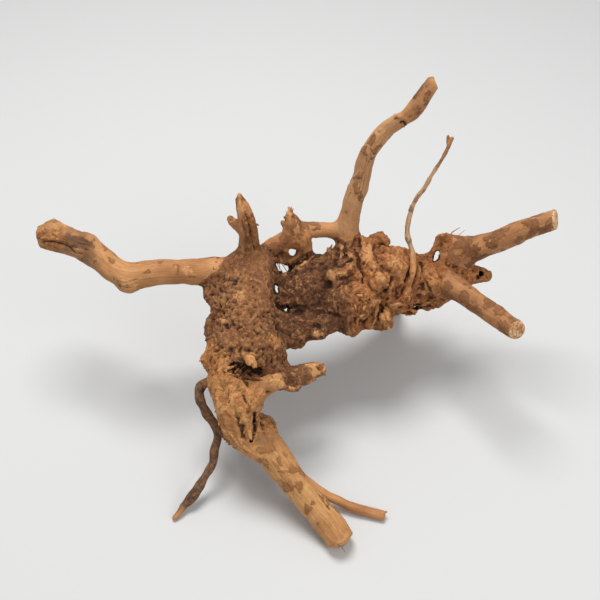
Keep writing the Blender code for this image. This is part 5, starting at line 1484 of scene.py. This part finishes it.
# (across, down, heading on the eye's square, length, width, lift, curl) in its units
FLAKES = [
    (247.5, 355, -62, 15, 9, 2.2, 1.2), (251, 362, -58, 9, 7, 2.6, 0.8),
    (228, 369, 20, 8, 3.4, 1.5, 1.0), (233, 367, 30, 7, 2.8, 2.0, 0.8), (224, 372, -6, 8, 2.4, 1.0, 0.8), (236, 371, 50, 6, 2.6, 1.6, 1.0),
    (382, 313, -84, 14, 5.5, 2.5, 1.5), (386.5, 309, -86, 18, 6, 3.5, 1.5), (389, 306, 12, 13, 4.5, 2.5, 2.5), (379, 307, -100, 11, 4.5, 1.5, 1.0),
    (385, 323, -70, 7, 3, 2.0, 1.0), (374, 300, 150, 7, 3, 1.2, 1.0), (368, 305, -120, 7, 3, 1.2, 1.0), (377, 318, -120, 8, 3, 1.5, 1.0),
    (364, 315, -140, 7, 3, 1.0, 1.2), (358, 319, -110, 8, 3, 1.2, 1.0), (354, 306, -70, 6, 2.6, 0.8, 1.0), (361, 296, 170, 6, 2.6, 1.0, 1.0),
    (372, 292, 160, 7, 2.6, 1.0, 1.2), (344, 299, -60, 6, 2.4, 0.7, 0.9), (349, 324, -95, 7, 3, 1.0, 1.0), (337, 309, -80, 6, 2.4, 0.7, 0.8),
    (299, 262, 28, 8, 2.2, 1.4, 0.8), (311, 258, 40, 6, 2.4, 1.0, 1.0), (327, 246, 60, 6, 2.6, 1.2, 1.0),
    (351, 245, 60, 5, 2.6, 1.0, 1.0), (366, 247, 100, 6, 2.4, 1.0, 0.8), (371, 259, 70, 5, 2.2, 0.9, 0.8), (362, 241, 95, 7, 2.6, 1.4, 0.6),
    (321, 370, 80, 6, 3, 1.6, -0.8), (319, 364, 20, 6, 3, 1.6, -0.8), (323, 373, -60, 5, 2.6, 1.4, -0.6), (304, 368, 30, 5, 2.2, 1.0, 0.8),
    
    (249, 431, -80, 12, 5, 1.4, 1.4), (243, 428, -100, 8, 3, 1.0, 1.2), (257, 425, -75, 9, 2.4, 1.6, -0.8), (240, 419, -110, 7, 3, 0.8, 1.0),
    (221, 433, -50, 10, 2.6, 1.0, 0.8), (231, 443, -42, 12, 2.6, 1.0, 0.8), (243, 453, -35, 12, 2.4, 0.9, 0.6), (228, 434, -48, 9, 2.4, 0.9, 0.8),
    (236, 440, -45, 9, 2.2, 0.9, 0.8), (217, 420, -80, 8, 3, 0.8, 0.8), (256, 402, 45, 6, 2.6, 0.8, 0.8), (262, 398, 40, 6, 2.4, 0.8, 0.8),
    (246, 400, -60, 6, 2.6, 0.6, 0.8), (228, 396, -100, 6, 2.6, 0.6, 0.8), (219, 402, -95, 7, 2.6, 0.8, 0.8),
    (289, 213, 80, 7, 2.4, 0.8, 0.6), (292, 216, 60, 6, 2.2, 1.0, 0.6), (285, 220, 120, 5, 2.2, 1.0, 0.6), (302, 228, 100, 6, 2.2, 0.8, 0.8),
    (245, 213, 80, 7, 2.6, 1.0, 0.6), (250, 224, 70, 7, 2.4, 1.0, 0.8), (254, 236, 80, 7, 2.4, 0.9, 0.8), (247, 236, 95, 6, 2.2, 0.8, 0.8),
    (243, 222, 110, 5, 2.2, 0.8, 0.6), (257, 246, 60, 6, 2.4, 0.8, 0.8), (40, 233, 175, 6, 2.6, 1.0, 0.6), (44, 238, 190, 6, 2.4, 0.8, 0.6),
    (50, 228, 165, 6, 2.4, 0.6, 0.6), (66, 240, 170, 7, 2.2, 0.6, 0.6), (411, 311, -20, 8, 2.8, 1.2, 0.8), (425, 304, 10, 8, 2.6, 1.0, 0.8),
    (441, 300, 15, 8, 2.4, 1.0, 0.6), (400, 307, 20, 7, 2.6, 1.2, 0.8), (444, 236, 40, 6, 2.4, 1.2, 0.8), (450, 234, 60, 5, 2.2, 1.2, 0.6),
    (434, 246, 80, 6, 2.2, 1.0, 0.6), (404, 120, 60, 4, 2.0, 0.8, 0.5), (400, 126, -30, 4, 2.0, 0.8, 0.5), (207, 298, 200, 5, 2.4, 0.8, 0.6),
    (209, 336, 190, 5, 2.4, 0.8, 0.8), (203, 360, 200, 6, 2.6, 0.8, 0.8), (318, 331, 30, 5, 2.6, 1.0, 0.6), (300, 338, -30, 6, 2.4, 0.8, 0.6),
    (345, 544, -100, 4, 2.2, 0.6, 0.4), (339, 546, -80, 4, 2.2, 0.6, 0.4), (386, 512, 20, 4, 2.2, 0.6, 0.4),
]
flakes = bmesh.new()
for u, v, heading, length, width, lift, curl in FLAKES:
    p, n = on_skin(u, v)
    px = float(-((p - EYE_M) @ NEAR)) / FOCAL
    h = math.radians(heading)
    d = RIGHT * math.cos(h) + UP * math.sin(h)
    flake(flakes, p, 0.6 * n + 0.4 * NEAR, d, length * px, width * px, 0.0011, lift * px, curl * px)
# chance flakes on the crown and trunk, all sides
chosen = np.flatnonzero((rough > 0.7) & (V[:, 2] > 0.012) & (deep < 0.1))
for i in rng.choice(chosen, 300, replace=False):
    p, n = V[i], N2[i]
    if seen_w[i] > 0.2 and rng.random() < 0.72:
        continue
    d = rng.normal(size=3) + np.array([0, 0, -0.6])
    flake(flakes, p, n + 0.25 * rng.normal(size=3), d, rng.uniform(0.003, 0.0055), rng.uniform(0.0024, 0.0044), 0.0009,
          rng.uniform(-0.0002, 0.0006), rng.uniform(-0.0003, 0.0005))
flake_me = bpy.data.meshes.new("bark_flakes")
bmesh.ops.recalc_face_normals(flakes, faces=flakes.faces)
flakes.to_mesh(flake_me)
flakes.free()
flake_me.polygons.foreach_set("use_smooth", np.ones(len(flake_me.polygons), bool))


def flake_material():
    m = Nodes("bark_flake")
    where = m.node("ShaderNodeTexCoord").outputs["Object"]
    n = m.noise(where, 420, 4.0, 0.65)
    broad = m.noise(where, 45, 3.0, 0.5)
    fine = m.noise(where, 1400, 3.0, 0.6)
    brown = m.ramp(n, (0.32, srgb(92, 60, 38)), (0.50, srgb(128, 88, 58)), (0.66, srgb(160, 116, 80)))
    fair = m.ramp(n, (0.32, srgb(148, 100, 60)), (0.50, srgb(186, 136, 90)), (0.66, srgb(214, 168, 122)))
    geo = m.node("ShaderNodeAttribute", attribute_name="w_fair", attribute_type="GEOMETRY")
    c = m.mix(m.step(m.math("ADD", geo.outputs["Fac"], m.math("MULTIPLY", m.math("SUBTRACT", broad, 0.5), 0.8)), 0.35, 0.65), brown, fair)
    c = m.mix(m.math("MULTIPLY", m.step(fine, 0.45, 0.34), 0.5), c, srgb(74, 46, 28))
    m.link(c, m.shader.inputs["Base Color"])
    m.link(m.mixf(n, 0.75, 0.95), m.shader.inputs["Roughness"])
    b = m.node("ShaderNodeBump")
    b.inputs["Strength"].default_value = 0.8
    b.inputs["Distance"].default_value = 0.0004
    m.link(m.math("ADD", n, m.math("MULTIPLY", fine, 0.6)), b.inputs["Height"])
    m.link(b.outputs[0], m.shader.inputs["Normal"])
    m.shader.inputs["Specular IOR Level"].default_value = 0.3
    return m.material


# a flake is as fair as the skin it hangs on
co = np.empty(len(flake_me.vertices) * 3, np.float32)
flake_me.vertices.foreach_get("co", co)
co = co.reshape(-1, 3)
per = 48
fair = np.zeros(len(co), np.float32)
sample = np.arange(0, len(V), 7)
# the painted shade that dark carries along the left column's clefts passes to the flakes there
value = np.clip(0.25 + 0.45 * warm + 0.8 * pale + 0.25 * gold - 0.5 * dark - 0.5 * np.clip(shade, 0, 1), 0, 1)
for k in range(0, len(co), per):
    c0 = co[k:k + per].mean(0)
    j = sample[np.argmin(((V[sample] - c0) ** 2).sum(1))]
    fair[k:k + per] = value[j]
fa = flake_me.attributes.new("w_fair", "FLOAT", "POINT")
fa.data.foreach_set("value", fair)
flake_me.materials.append(flake_material())
flake_ob = bpy.data.objects.new("bark_flakes", flake_me)
bpy.context.scene.collection.objects.link(flake_ob)
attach(flake_ob, "root")
print("flakes", len(flake_me.polygons), round(time.time() - T0, 1))

# hair roots out of the crown's flanks and underside
crown_pts = np.flatnonzero((branch < 0.1) & (N2[:, 2] < -0.15) & (V[:, 2] > 0.03) & (N2 @ NEAR < -0.45))
for i in rng.choice(crown_pts, 22, replace=False):
    p, d = V[i], N2[i]
    g = rng.normal(size=3) * 0.5 + np.array([0, 0, -0.5])
    L = rng.uniform(0.003, 0.008)
    strand(fibres, [p - d * 0.001 + d * L * t + g * L * 0.6 * t * t for t in np.linspace(0, 1, 6)],
           rng.uniform(0.0003, 0.0006), 0.00013)
me = bpy.data.meshes.new("root_fibres")
fibres.to_mesh(me)
fibres.free()
me.polygons.foreach_set("use_smooth", np.ones(len(me.polygons), bool))
me.materials.append(fibre_material())
hairs = bpy.data.objects.new("root_fibres", me)
bpy.context.scene.collection.objects.link(hairs)
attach(hairs, "root")

# -------------------------------------------------------------- floor, light
floor_me = bpy.data.meshes.new("floor")
bm = bmesh.new()
bmesh.ops.create_grid(bm, x_segments=2, y_segments=2, size=4.0)
bm.to_mesh(floor_me)
bm.free()
floor = bpy.data.objects.new("floor", floor_me)
bpy.context.scene.collection.objects.link(floor)
fm = Nodes("floor_pale")
fm.shader.inputs["Base Color"].default_value = (0.62, 0.64, 0.66, 1)
fm.shader.inputs["Roughness"].default_value = 0.95
floor_me.materials.append(fm.material)
floor.location.z = -0.0004
floor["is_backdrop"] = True


def area(name, at, to, size, power, colour):
    light = bpy.data.lights.new(name, "AREA")
    light.shape = "DISK"
    light.size = size
    light.energy = power
    light.color = colour
    ob = bpy.data.objects.new(name, light)
    ob.location = at
    ob.rotation_euler = (Vector(to) - Vector(at)).to_track_quat("-Z", "Y").to_euler()
    bpy.context.scene.collection.objects.link(ob)
    return ob


area("key", (-0.20, 0.35, 1.60), (0.02, 0.0, 0.08), 0.75, 21, (1.0, 0.97, 0.93))
area("fill", (0.9, -0.9, 1.0), (0, 0, 0.1), 1.0, 6.5, (1.0, 0.98, 0.95))
world = bpy.data.worlds.new("studio")
world.use_nodes = True
world.node_tree.nodes["Background"].inputs[0].default_value = (1.0, 0.98, 0.95, 1)
world.node_tree.nodes["Background"].inputs[1].default_value = 0.47
bpy.context.scene.world = world

# ------------------------------------------------------------------- camera
cam = bpy.data.cameras.new("camera")
cam.angle = 2 * math.atan(300.0 / FOCAL)
cam.clip_start, cam.clip_end = 0.02, 20
camera = bpy.data.objects.new("camera", cam)
camera.location = EYE_M
camera.rotation_euler = (Vector(AIM_M) - Vector(EYE_M)).to_track_quat("-Z", "Y").to_euler()
bpy.context.scene.collection.objects.link(camera)
bpy.context.scene.camera = camera
bpy.context.scene.view_settings.view_transform = "Standard"

SIZE["scene"] = [list(map(float, c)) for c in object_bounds()]
print("done", SIZE, round(time.time() - T0, 1))
